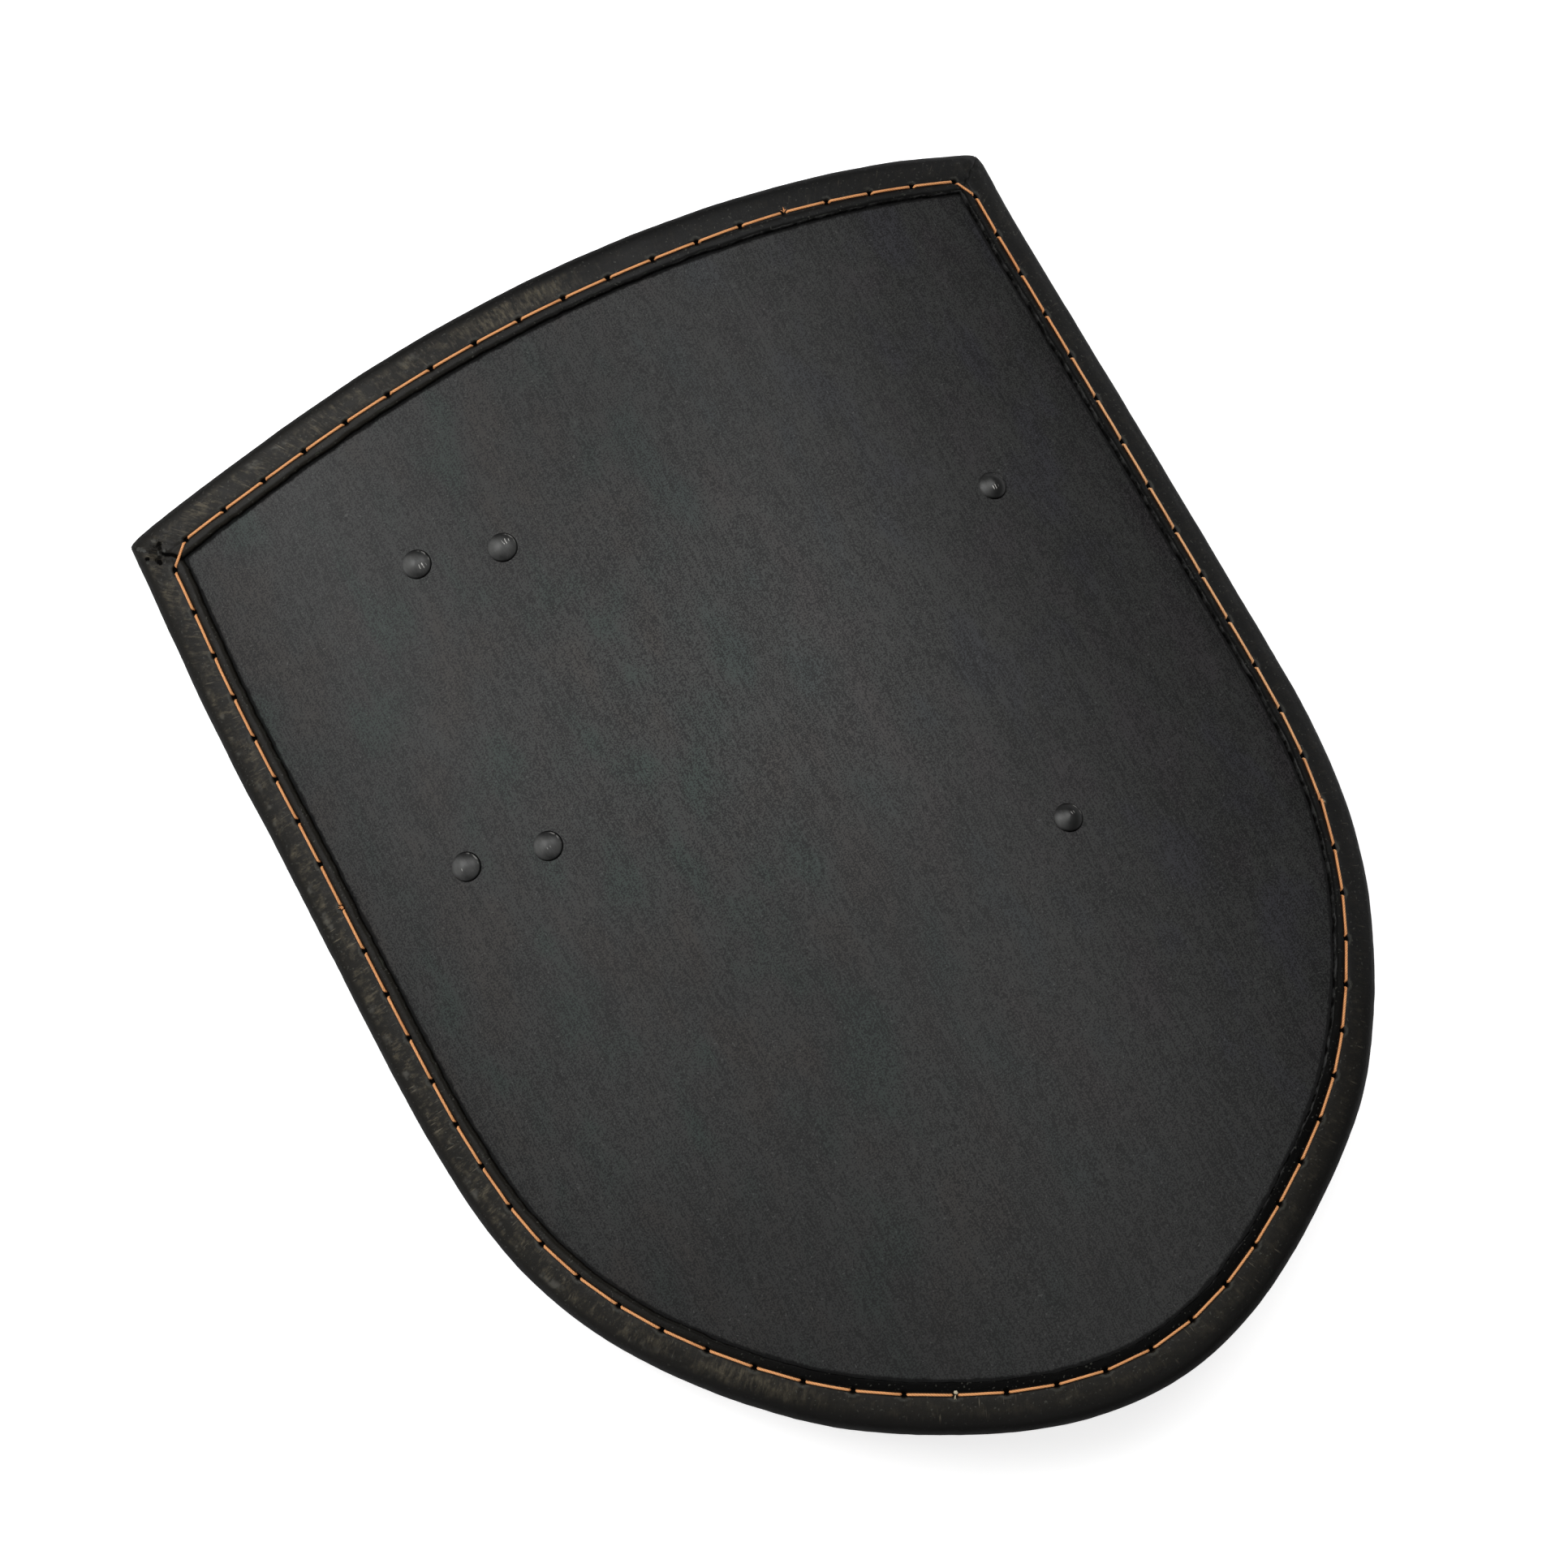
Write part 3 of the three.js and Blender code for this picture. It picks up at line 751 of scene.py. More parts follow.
def rim_mesh(pattern, strip, seam, holes):
    """One strip of leather: cut flat, its edges rounded, then folded over the board's edge."""
    stations = strip.stations(holes)
    rows = rows_across(pattern)
    bm = bmesh.new()
    bmesh.ops.create_grid(bm, x_segments=len(stations) - 1, y_segments=len(rows) - 1, size=1)
    for v in bm.verts:
        column = round((v.co.x + 1) / 2 * (len(stations) - 1))
        row = round((v.co.y + 1) / 2 * (len(rows) - 1))
        v.co = Vector((stations[column], rows[row], 0))
    thickness = pattern.size.leather_thickness
    thickened(bm, thickness)
    round_edges(bm, sharp_edges(bm, 0.9 * thickness, 1.1 * thickness), EDGE_ROUND, 3)
    flat = bm.verts.layers.float_vector.new("strip")
    holed = bm.verts.layers.float.new("hole")
    for v in bm.verts:
        run, across, thick = v.co
        v[flat] = v.co
        face = 1 if across > 0 else -1
        cut = waver(run * 55, 4.0 * face, 0)
        cut += 0.5 * waver(run * 210, 7.0 * face, 0)
        cut += 0.3 * waver(run * 560, 2.0 * face, 0)
        across += face * EDGE_WANDER * cut * ease(abs(across), pattern.seam_across, pattern.strip_half)
        part = strip.part_at(run)
        inset, height = pattern.folded(across, thick)
        place = strip.route(part, inset)
        relief, pit = leather_relief(pattern, seam, place, run, across)
        # the hole's mark, which sets the painted shade in the hole and the paler raised lip
        v[holed] = pit * ease(thick, 0, thickness)
        inset, height = pattern.folded(across, thick + relief * ease(thick, 0, thickness))
        place = strip.route(part, inset)
        v.co = pattern.bend(rounded_corner(pattern, place), height)
        v.co.z = max(v.co.z, GROUND_GAP)
    return bm


def rounded_corner(pattern, place):
    """Draws the leather in a little round the outer corners, more at the right one."""
    away = (Vector((abs(place.x), place.y)) - pattern.corner).length
    pull = RIGHT_CORNER_PULL if place.x > 0 else LEFT_CORNER_PULL
    inward = pattern.mitre * (pull * (1 - ease(away, 0, CORNER_ROUND)))
    return Vector((place.x + math.copysign(inward.x, -place.x), place.y + inward.y))


def tube(bm, stations, sides, flat_layer):
    """Adds a closed tube: stations are (centre, across, up, radius, run, sunk), from end to end."""
    ring = bmesh.ops.create_circle(bm, cap_ends=False, radius=1, segments=sides)["verts"]
    first = list({edge for v in ring for edge in v.link_edges})
    geometry = bmesh.ops.spin(
        bm, geom=ring + first, steps=len(stations) - 1,
        cent=(0, 0, 0), axis=(0, 0, 1), dvec=(0, 0, 1), angle=0,
    )
    last = [item for item in geometry["geom_last"] if isinstance(item, bmesh.types.BMEdge)]
    bmesh.ops.contextual_create(bm, geom=first)
    bmesh.ops.contextual_create(bm, geom=last)
    verts = set(ring)
    todo = list(ring)
    while todo:
        v = todo.pop()
        for edge in v.link_edges:
            other = edge.other_vert(v)
            if other not in verts:
                verts.add(other)
                todo.append(other)
    for v in verts:
        centre, across, up, radius, run, sunk = stations[round(v.co.z)]
        v[flat_layer] = (run, math.atan2(v.co.y, v.co.x), sunk)
        v.co = centre + (across * v.co.x + up * v.co.y) * radius


def stitch(bm, pattern, layer, start, end, face, phase):
    """One stitch on one face of the leather, with its ends drawn down into the holes."""
    size = pattern.size
    radius = size.thread_diameter / 2
    span = (end - start).length
    along = (end - start).normalized()
    side = Vector((along.y, -along.x))
    full = pattern.rim_outer - size.groove_depth + radius * 0.9
    lip = size.hole_length / 2
    centres = []
    ends = [part * lip for part in DIVE]
    for run in [*ends, span * 0.36, span * 0.64, *(span - end for end in reversed(ends))]:
        near = min(run, span - run)
        height = full - THREAD_SINK * (1 - ease(near, 0.7 * lip, 1.12 * lip))
        wander = THREAD_WANDER * waver(run * 90 + phase, phase, 0)
        place = start + along * run + side * wander
        centres.append((pattern.bend(place, face * height), run, (full - height) / THREAD_SINK))
    stations = []
    for i, (centre, run, sunk) in enumerate(centres):
        ahead = centres[min(i + 1, len(centres) - 1)][0] - centres[max(i - 1, 0)][0]
        ahead.normalize()
        middle = start + along * run
        outward = pattern.bend(middle, face * 2 * full) - pattern.bend(middle, 0)
        across = ahead.cross(outward).normalized()
        up = across.cross(ahead).normalized()
        stations.append((centre, across, up, radius, run + phase, sunk))
    tube(bm, stations, THREAD_SIDES, layer)


def fibres(bm, pattern, layer, hole, along, seed, number):
    """A few loose fibres where a length of thread ends."""
    side = Vector((along.y, -along.x))
    for i in range(number):
        turn = waver(i * 3.7, seed, 1) * 1.6 + 0.3
        lean = waver(i * 2.3, seed, 5)
        reach = (2.0 + 1.6 * abs(waver(i * 1.9, seed, 9))) * MM
        course = (side * math.cos(turn) + along * math.sin(turn)).normalized()
        stations = []
        for step in range(FIBRE_STEPS + 1):
            part = step / FIBRE_STEPS
            place = hole + course * reach * part + along * lean * MM * part**2
            height = pattern.rim_outer + 0.9 * MM * math.sin(math.pi * part * 0.8)
            centre = pattern.bend(place, height)
            ahead = pattern.bend(place + course * MM, height) - centre
            up = pattern.bend(place, height + MM) - centre
            up.normalize()
            across = ahead.cross(up).normalized()
            stations.append((centre, across, up, (0.24 - 0.16 * part) * MM, part * reach, 0.1 + 0.3 * part))
        tube(bm, stations, 5, layer)


def lump(bm, pattern, layer, place, size):
    """A small rough lump on the leather. Gives back its points."""
    verts = bmesh.ops.create_icosphere(bm, subdivisions=2, radius=1)["verts"]
    for v in verts:
        rough = 1 + 0.5 * noise.noise(v.co * 1.4 + Vector((place.x, place.y, 0)) * 900)
        offset = v.co * size * rough
        v.co = pattern.bend(place + Vector((offset.x, offset.y)), pattern.rim_outer + 0.6 * offset.z)
        v[layer] = (0, 1.5, 0.25)
    return verts


def thread_mesh(pattern, seam, knot, first, stitches):
    """One length of waxed thread, sewn through and through: the same row of stitches on both faces."""
    lap, lumps, number, fibre_wax = knot
    bm = bmesh.new()
    layer = bm.verts.layers.float_vector.new("strand")
    wax = bm.verts.layers.float.new("wax")
    total = len(seam.holes)
    hole = seam.holes[first % total]
    along = seam.alongs[first % total]
    side = Vector((along.y, -along.x))
    fibres(bm, pattern, layer, hole, along, first * 1.7, number)
    for v in bm.verts:
        v[wax] = fibre_wax
    for outward, ahead, size, waxy in lumps:
        place = hole + side * outward * MM + along * ahead * MM
        for v in lump(bm, pattern, layer, place, size * MM):
            v[wax] = waxy
    for i in range(stitches):
        start = seam.holes[(first + i) % total]
        end = seam.holes[(first + i + 1) % total]
        for face in (1, -1):
            begin = start
            if i == 0 and face == 1 and lap:
                begin = start - along * lap * MM + side * LAP_ASIDE
            stitch(bm, pattern, layer, begin, end, face, (first + i) * STITCH_PHASE)
    return bm


def rivet_mesh(pattern, across, down, seed, rub):
    """A domed head, its shank and its clenched tail, with the small lean and dents of hand work."""
    size = pattern.size
    reach = size.board_thickness + size.strap_thickness + 3 * size.gap
    head = size.head_diameter / 2
    dome = (head**2 + size.head_height**2) / (2 * size.head_height)
    angle = math.asin(head / dome)
    tail = size.tail_diameter / 2
    profile = [(0, -reach - size.tail_height), (tail * 0.66, -reach - size.tail_height)]
    profile += [(tail, -reach - size.tail_height / 3), (tail, -reach), (size.shank_diameter / 2, -reach)]
    profile += [(size.shank_diameter / 2, 0), (head, 0)]
    for i in range(DOME_STEPS - 1, -1, -1):
        turn = angle * i / DOME_STEPS
        profile.append((dome * math.sin(turn), size.head_height - dome * (1 - math.cos(turn))))
    bm = bmesh.new()
    verts = [bm.verts.new((x, 0, z)) for x, z in profile]
    edges = [bm.edges.new(pair) for pair in zip(verts, verts[1:])]
    bmesh.ops.spin(
        bm, geom=verts + edges, cent=(0, 0, 0), axis=(0, 0, 1), dvec=(0, 0, 0),
        angle=2 * math.pi, steps=RIVET_STEPS, use_merge=True,
    )
    bmesh.ops.remove_doubles(bm, verts=bm.verts[:], dist=MERGE_REACH)
    bmesh.ops.recalc_face_normals(bm, faces=bm.faces[:])
    rims = [edge for edge in bm.edges if edge.is_manifold and edge.calc_face_angle(0) > 0.7]
    round_edges(bm, rims, HEAD_EDGE_ROUND, 2)
    bmesh.ops.remove_doubles(bm, verts=bm.verts[:], dist=MERGE_REACH)
    head_layer = bm.verts.layers.float_vector.new("head")
    rub_across, rub_up, amount = rub
    for v in bm.verts:
        away = math.hypot((v.co.x - rub_across * MM) / 2.4, (v.co.y - rub_up * MM) / 1.5)
        v[head_layer] = (v.co.x, v.co.y, amount * bump(away, 1 * MM))
        if v.co.z > 0.2 * MM:
            dent = waver(v.co.x * 180, v.co.y * 180, seed)
            v.co.z += HEAD_DENT * dent * min(v.co.z / size.head_height, 1)
    lean_x, lean_y = (HEAD_LEAN * waver(seed, row, 0) for row in (2.5, 7.5))
    lean = Euler((lean_x, lean_y, 0)).to_matrix().to_4x4()
    seat = Matrix.Translation(pattern.bend(Vector((across, down)), pattern.board_half + HEAD_LIFT))
    turn = Matrix.Rotation(across / size.bend_radius, 4, "Y")
    bmesh.ops.transform(bm, matrix=seat @ turn @ lean, verts=bm.verts[:])
    return bm


def strap_mesh(pattern, row):
    """A carrying strap: flat on the back of the board at both ends, bowed away from it between them."""
    size = pattern.size
    start = Vector(row["pair_outer"])
    end = Vector(row["single"])
    span = (end - start).length
    along = (end - start).normalized()
    side = Vector((-along.y, along.x))
    leaves = (Vector(row["pair_inner"]) - start).dot(along) + size.strap_landing
    lands = span - size.strap_landing
    whole = span + 2 * size.strap_end
    bm = bmesh.new()
    bmesh.ops.create_grid(bm, x_segments=STRAP_STEPS, y_segments=STRAP_ROWS, size=1)
    for v in bm.verts:
        run = (v.co.x + 1) / 2 * whole - size.strap_end
        to_end = min(run + size.strap_end, span + size.strap_end - run)
        turned = max(0, 1 - to_end / size.strap_end_round)
        narrow = math.sqrt(1 - (1 - size.strap_end_share**2) * turned**2)
        v.co = Vector((run, v.co.y * size.strap_width / 2 * narrow, 0))
    thickened(bm, size.strap_thickness)
    round_edges(bm, sharp_edges(bm, -1, 1), STRAP_EDGE_ROUND, 3)
    flat = bm.verts.layers.float_vector.new("strap")
    rivets = [(Vector(place) - start).dot(along) for place in row.values()]
    for v in bm.verts:
        run, across, thick = v.co
        v[flat] = v.co
        share_of_bow = min(max((run - leaves) / (lands - leaves), 0), 1)
        bow = pattern.strap_bow * (4 * share_of_bow * (1 - share_of_bow)) ** size.strap_bow_power
        crease = STRAP_CREASE * bump(abs(across) - size.strap_width / 2 + 3.2 * MM, 0.5 * MM)
        press = sum(STRAP_PRESS * bump(math.hypot(run - rivet, across), 6 * MM) for rivet in rivets)
        wave = STRAP_WAVE * waver(run * 60, across * 60, 2)
        deep = size.strap_thickness - thick
        away = (crease + press + wave) * ease(deep, 0, size.strap_thickness)
        place = start + along * run + side * across
        v.co = pattern.bend(place, -(pattern.board_half + size.gap + bow + deep - away))
    return bm


class Wire:
    """One output of a material's node. Sums and products of wires add their Math nodes."""

    def __init__(self, paint, socket):
        self.paint = paint
        self.socket = socket

    def out(self, name):
        """Another output of the same node."""
        return Wire(self.paint, self.socket.node.outputs[name])

    def __add__(self, other):
        return self.paint.math("ADD", self, other)

    def __radd__(self, other):
        return self.paint.math("ADD", other, self)

    def __sub__(self, other):
        return self.paint.math("SUBTRACT", self, other)

    def __rsub__(self, other):
        return self.paint.math("SUBTRACT", other, self)

    def __mul__(self, other):
        return self.paint.math("MULTIPLY", self, other)

    def __rmul__(self, other):
        return self.paint.math("MULTIPLY", other, self)

    def __truediv__(self, other):
        return self.paint.math("DIVIDE", self, other)

    def __pow__(self, other):
        return self.paint.math("POWER", self, other)

    def __abs__(self):
        return self.paint.math("ABSOLUTE", self)

    def rise(self, low, high):
        """0 below low, 1 above high, and smooth between."""
        return self.paint.node(
            "ShaderNodeMapRange",
            {"interpolation_type": "SMOOTHSTEP"},
            Value=self, From_Min=low, From_Max=high, To_Min=0.0, To_Max=1.0,
        )

    def fall(self, low, high):
        """1 below low, 0 above high, and smooth between."""
        return 1 - self.rise(low, high)

    def most(self, other):
        """The larger of two values."""
        return self.paint.math("MAXIMUM", self, other)

    def along(self, direction):
        """How far a vector's X and Y reach along a direction."""
        return self * direction[0] + self.out("Y") * direction[1]


class Paint:
    """The nodes of one material."""

    def __init__(self, name):
        self.material = bpy.data.materials.new(name)
        self.material.use_nodes = True
        self.tree = self.material.node_tree
        self.tree.nodes.clear()

    def node(self, kind, settings=None, **values):
        """Any node: its settings first, then the values or links of its sockets."""
        made = self.tree.nodes.new(kind)
        for name, value in (settings or {}).items():
            setattr(made, name, value)
        for name, value in values.items():
            socket = next(s for s in made.inputs if s.identifier in (name, name.replace("_", " ")))
            if isinstance(value, Wire):
                self.tree.links.new(value.socket, socket)
            else:
                socket.default_value = value
        return Wire(self, made.outputs[0]) if made.outputs else None

    def math(self, operation, *values):
        """A Math node on one or two values."""
        names = ("Value", "Value_001")
        return self.node("ShaderNodeMath", {"operation": operation}, **dict(zip(names, values)))

    def mix(self, factor, first, second, blend="MIX"):
        """A colour between two, each a wire or a plain colour."""
        made = self.node(
            "ShaderNodeMix", {"data_type": "RGBA", "blend_type": blend},
            Factor_Float=factor, A_Color=solid(first), B_Color=solid(second),
        )
        return Wire(self, next(s for s in made.socket.node.outputs if s.identifier == "Result_Color"))

    def coated(self, shade, *coats):
        """A colour with others laid over it in turn, each by its own factor."""
        for factor, coat in coats:
            shade = self.mix(factor, shade, coat)
        return shade

    def attribute(self, name, output="Vector"):
        """A layer of the mesh."""
        return self.node("ShaderNodeAttribute", {"attribute_name": name}).out(output)

    def place(self):
        """The place in the frame."""
        return self.node("ShaderNodeTexCoord").out("Object")

    def parts(self, vector):
        """A vector taken apart: its X, with Y and Z as the other outputs."""
        return self.node("ShaderNodeSeparateXYZ", Vector=vector)

    def distance(self, place, centre):
        """How far a place lies from a fixed one."""
        settings = {"operation": "DISTANCE"}
        return self.node("ShaderNodeVectorMath", settings, Vector=place, Vector_001=centre).out("Value")

    def noise(self, place, scale, detail, roughness=0.5, turn=0.0):
        """Noise in cells a metre: one number for an even grain, or one for each direction."""
        if turn:
            place = self.node("ShaderNodeMapping", Vector=place, Rotation=(0, 0, turn))
        each = scale if isinstance(scale, tuple) else (scale, scale, scale)
        moved = self.node("ShaderNodeMapping", Vector=place, Scale=each)
        return self.node("ShaderNodeTexNoise", Vector=moved, Scale=1.0, Detail=detail, Roughness=roughness)

    def bumped(self, height, distance, strength):
        """A bump whose height of 1 stands up by a distance."""
        return self.node("ShaderNodeBump", Height=height, Distance=distance, Strength=strength)

    def shader(self, **values):
        """One surface shader."""
        return self.node("ShaderNodeBsdfPrincipled", **values)

    def blend(self, factor, first, second):
        """A surface between two shaders."""
        return self.node("ShaderNodeMixShader", Fac=factor, Shader=first, Shader_001=second)

    def surface(self, shader):
        """The material, with its shader at its end."""
        self.node("ShaderNodeOutputMaterial", Surface=shader)
        return self.material


def solid(shade):
    """A plain colour with its alpha; a wire stays as it is."""
    return shade if isinstance(shade, Wire) else (*shade, 1.0)


def board_finish(colours):
    """Matt black paint brushed along the board, with fine pale strokes, dust and a few scratches, a painted
    highlight over the middle, painted shade by the tip and at the lower left, and a painted shadow along
    the leather's inner edge.
    """
    paint = Paint("painted_board")
    place = paint.place()
    strokes = paint.noise(place, (1300, 120, 100), 3, 0.65)
    cross = paint.noise(place, (800, 240, 200), 1, 0.5, math.radians(58))
    speckle = paint.noise(place, 1250, 0)
    scratches = paint.noise(place, (520, 7, 9), 1, 0.5).rise(0.685, 0.72)
    pits = paint.noise(place, (600, 480, 500), 0).rise(0.77, 0.82)
    glints = paint.noise(place, (900, 700, 760), 0).rise(0.77, 0.82)
    smears = paint.noise(place, (34, 6, 10), 3, 0.6)
    tint = paint.noise(place, (34, 17, 20), 2, 0.55)
    blotches = paint.noise(place, (55, 26, 40), 2, 0.6)
    brushed = paint.noise(place, (620, 20, 40), 1, 0.5)
    pale = strokes.rise(0.34, 0.66) * 0.34 + cross.rise(0.35, 0.65) * 0.18 + speckle.rise(0.30, 0.70) * 0.52
    pale = (pale - 0.5) * 2.7 + (blotches - 0.5) * 1.3 + (brushed - 0.5) * 0.95 + 0.5
    pale = pale * (0.66 + smears * 0.68) + scratches * 0.35
    ragged = paint.noise(place, 150, 5, 0.75)
    # line: a painted shadow on the board along the leather's inner edge
    line = (paint.attribute("margin", "Fac") + (ragged - 0.5) * 0.0035).fall(0.0009, 0.0021)
    where = paint.parts(place)
    right = where.rise(-0.08, 0.16)
    low = where.out("Y").fall(-0.30, -0.16)
    corner = where.fall(-0.16, -0.03) * where.out("Y").fall(-0.18, -0.08)
    # painted_highlight: a painted highlight over the middle of the face
    painted_highlight = paint.distance(place, FACE_HIGHLIGHT_CENTRE).fall(0.02, 0.17) * 0.42
    # painted_shade: painted shade towards the tip and at the lower left
    painted_shade = 1 - (1 - low * 0.47) * (1 - corner * 0.5)
    dark = paint.mix(painted_shade, paint.mix(painted_highlight, colours.board_paint, BOARD_LIT_PAINT), BOARD_DIM_PAINT)
    light = paint.mix(painted_shade, paint.mix(painted_highlight, colours.board_rub, BOARD_LIT_RUB), BOARD_DIM_RUB)
    shade = paint.mix(pale, dark, light)
    cool = paint.mix(right, *BOARD_COOL)
    warm = paint.mix(right, *BOARD_WARM)
    shade = paint.mix(tint.rise(0.50, 0.68) * (0.80 - low * 0.6), shade, cool, "MULTIPLY")
    shade = paint.mix(tint.rise(0.50, 0.32) * (0.65 - low * 0.5), shade, warm, "MULTIPLY")
    coats = (glints * 0.3, BOARD_GLINT), (pits * 0.7, colours.board_pit), (line * 0.85, BOARD_EDGE_SHADOW)
    shade = paint.coated(shade, *coats)
    height = strokes * 0.7 + cross * 0.5 + speckle * 0.4 - pits
    return paint.surface(paint.shader(
        Base_Color=shade,
        Roughness=0.50 + smears * 0.1 - strokes * 0.1 + line * 0.4,
        Specular_IOR_Level=0.32,
        Normal=paint.bumped(height, 0.00008, 0.9),
    ))


def leather_finish(colours, cuts):
    """Black dyed leather, rubbed to olive brown in short streaks across the middle of the strip. The worn
    left side is lighter partly from wear and partly as painted light; the cut edge has a painted highlight,
    mostly on the right; the holes, the corner notches and the joint have painted shade.
    """
    paint = Paint("rim_leather")
    strip = paint.attribute("strip")
    hole = paint.attribute("hole", "Fac")
    place = paint.place()
    across = abs(paint.parts(strip).out("Y"))
    where = paint.parts(place)
    # worn: the left side and the lower end; the left side's lighter colour is partly painted light
    worn = where.fall(-0.14, 0.06).most(where.out("Y").fall(-0.27, -0.16))
    right = where.rise(0.02, 0.14)
    low = where.out("Y").fall(-0.25, -0.12)
    streaks = paint.noise(strip, (340, 110, 30), 4, 0.75)
    fine = paint.noise(strip, (1300, 240, 100), 2, 0.6)
    patches = paint.noise(strip, (55, 110, 30), 3, 0.65)
    blots = paint.noise(place, 130, 3, 0.7)
    sheen = paint.noise(strip, (75, 60, 30), 3, 0.7)
    dashes = paint.noise(strip, (110, 700, 60), 5, 0.75)
    grain = paint.noise(place, 1100, 3, 0.65)
    pores = paint.noise(place, 520, 2, 0.5)
    specks = paint.noise(place, 800, 0).rise(0.72, 0.80)
    ragged = paint.noise(place, 620, 3, 0.7)
    band = across.rise(0.0090, 0.0125) * across.fall(0.0180, 0.0225)
    outer = across.rise(0.0092, 0.0115) * across.fall(0.0125, 0.0155)
    inner = across.rise(0.0234, 0.0244)
    # edge: the leather's cut edge, which gets a painted highlight, strongest on the right
    edge = across.rise(0.0279, 0.0284) * dashes.rise(0.44, 0.62)
    rubbed = 0.0
    for centre in RUBBED_PLACES:
        rubbed = paint.distance(place, centre).fall(0.015, 0.045) + rubbed
    scuff = streaks.rise(0.48, 0.72) * 0.9 + blots.rise(0.50, 0.66) * 0.4
    scuff = scuff + rubbed * streaks.rise(0.36, 0.6) * 0.9
    scuff = band * scuff * (patches.rise(0.28, 0.52) + rubbed * 0.5)
    scuff = scuff * (0.4 + fine * 1.2) * (1 - low * 0.75)
    lines = paint.noise(strip, (700, 60, 30), 1, 0.5).rise(0.68, 0.76) * band
    raised = (hole * -1.0).rise(0.1, 0.6)
    # cut: painted shade in the holes and the joint; the corner marks add painted shade and shadow, or
    # painted highlights
    cut = hole.rise(0.1, 0.6)
    gleam = 0.0
    for centre, reach, depth in cuts:
        away = paint.distance(place, centre) + (ragged - 0.5) * (reach * 1.2)
        mark = away.fall(reach * 0.55, reach) * abs(depth)
        if depth > 0:
            cut = mark.most(cut)
        else:
            gleam = mark.most(gleam)
    shade = paint.coated(
        colours.leather,
        (worn * (0.3 + patches * 0.7), colours.leather_warm),
        (scuff * (0.10 + worn * 0.90), colours.leather_scuff),
        (lines * (0.25 + worn * 0.5), LEATHER_LINE),
        (outer * sheen.rise(0.55, 0.68) * (worn - low) * 0.6, LEATHER_SHEEN),
        (inner * dashes.rise(0.58, 0.72) * (1 - low) * 0.6, LEATHER_INNER),
        (inner * low * 0.95, LEATHER_SHADE),
        (raised * (0.25 + grain * 0.5), LEATHER_RAISED),
        (specks * 0.35, LEATHER_SPECK),
        (across.fall(0.004, 0.0115) * 0.9, LEATHER_FOLD),
        (across.fall(0.0100, 0.0160) * low * 0.7, LEATHER_LOW_FOLD),
        (edge * (0.12 + right * 0.88), LEATHER_EDGE_HIGHLIGHT),
        (cut, LEATHER_HOLLOW_SHADE),
        (gleam, LEATHER_GLEAM),
    )
    height = grain * 0.3 + pores * 0.6 + streaks * 0.5 * band + fine * 0.2 - cut * 3.0
    both = {"Base_Color": shade, "Normal": paint.bumped(height, 0.00025, 0.85)}
    glossy = paint.shader(Roughness=0.42 + patches * 0.25 + cut * 0.4, Specular_IOR_Level=0.28, **both)
    dull = paint.shader(Roughness=0.6 + patches * 0.2, Specular_IOR_Level=0.03, **both)
    turned = (across.fall(0.002, 0.0130) * 0.9).most(across.rise(0.0262, 0.0276) * 0.8)
    turned = turned.most(inner * low * 0.9).most(low * 0.35).most(cut)
    return paint.surface(paint.blend(turned, glossy, dull))


def thread_finish(colours):
    """Waxed thread of three twisted plies, with painted shade down its sides and where it sinks into a
    hole, and a paler painted highlight along the right side.
    """
    paint = Paint("waxed_thread")
    parts = paint.parts(paint.attribute("strand"))
    around = parts.out("Y")
    plies = paint.math("SINE", parts * PLY_TWIST + around * PLY_COUNT) * 0.5 + 0.5
    # lit_crown: painted shade down the strand's sides and a painted highlight along its top
    lit_crown = paint.math("SINE", around).rise(0.05, 0.75)
    sunk = parts.out("Z")
    place = paint.place()
    fluff = paint.noise(place, 1500, 2, 0.6)
    patch = paint.noise(place, 45, 2, 0.6)
    where = paint.parts(place)
    up = where.out("Y")
    brown = where.rise(0.06, 0.20)
    # lit_stretch: a paler painted highlight on the thread along the right side
    lit_stretch = where.rise(0.08, 0.20) * up.rise(-0.15, -0.04) * up.fall(0.12, 0.20)
    # the thread darkens as it sinks into a hole: painted shade
    depth = (0.5 + plies.rise(0.0, 0.55) * 0.5) * (0.75 + fluff * 0.5) * sunk.fall(0.15, 0.8)
    depth = depth * (0.5 + lit_crown * 0.62) * (1 - brown * (1 - plies) * 0.30)
    wax = paint.attribute("wax", "Fac")
    shade = paint.coated(
        colours.thread_dark,
        (depth, colours.thread),
        (lit_stretch * depth * 0.45, THREAD_LIT),
        (patch.rise(0.5, 0.75) * 0.30, colours.thread_dark),
        (wax.rise(0.02, 0.2), paint.mix(wax, WAX_THIN, WAX_THICK)),
    )
    return paint.surface(paint.shader(
        Base_Color=shade,
        Roughness=0.48 + fluff * 0.2,
        Specular_IOR_Level=0.45,
        Normal=paint.bumped(plies * 0.8 + fluff * 0.3, 0.00012, 0.8),
    ))


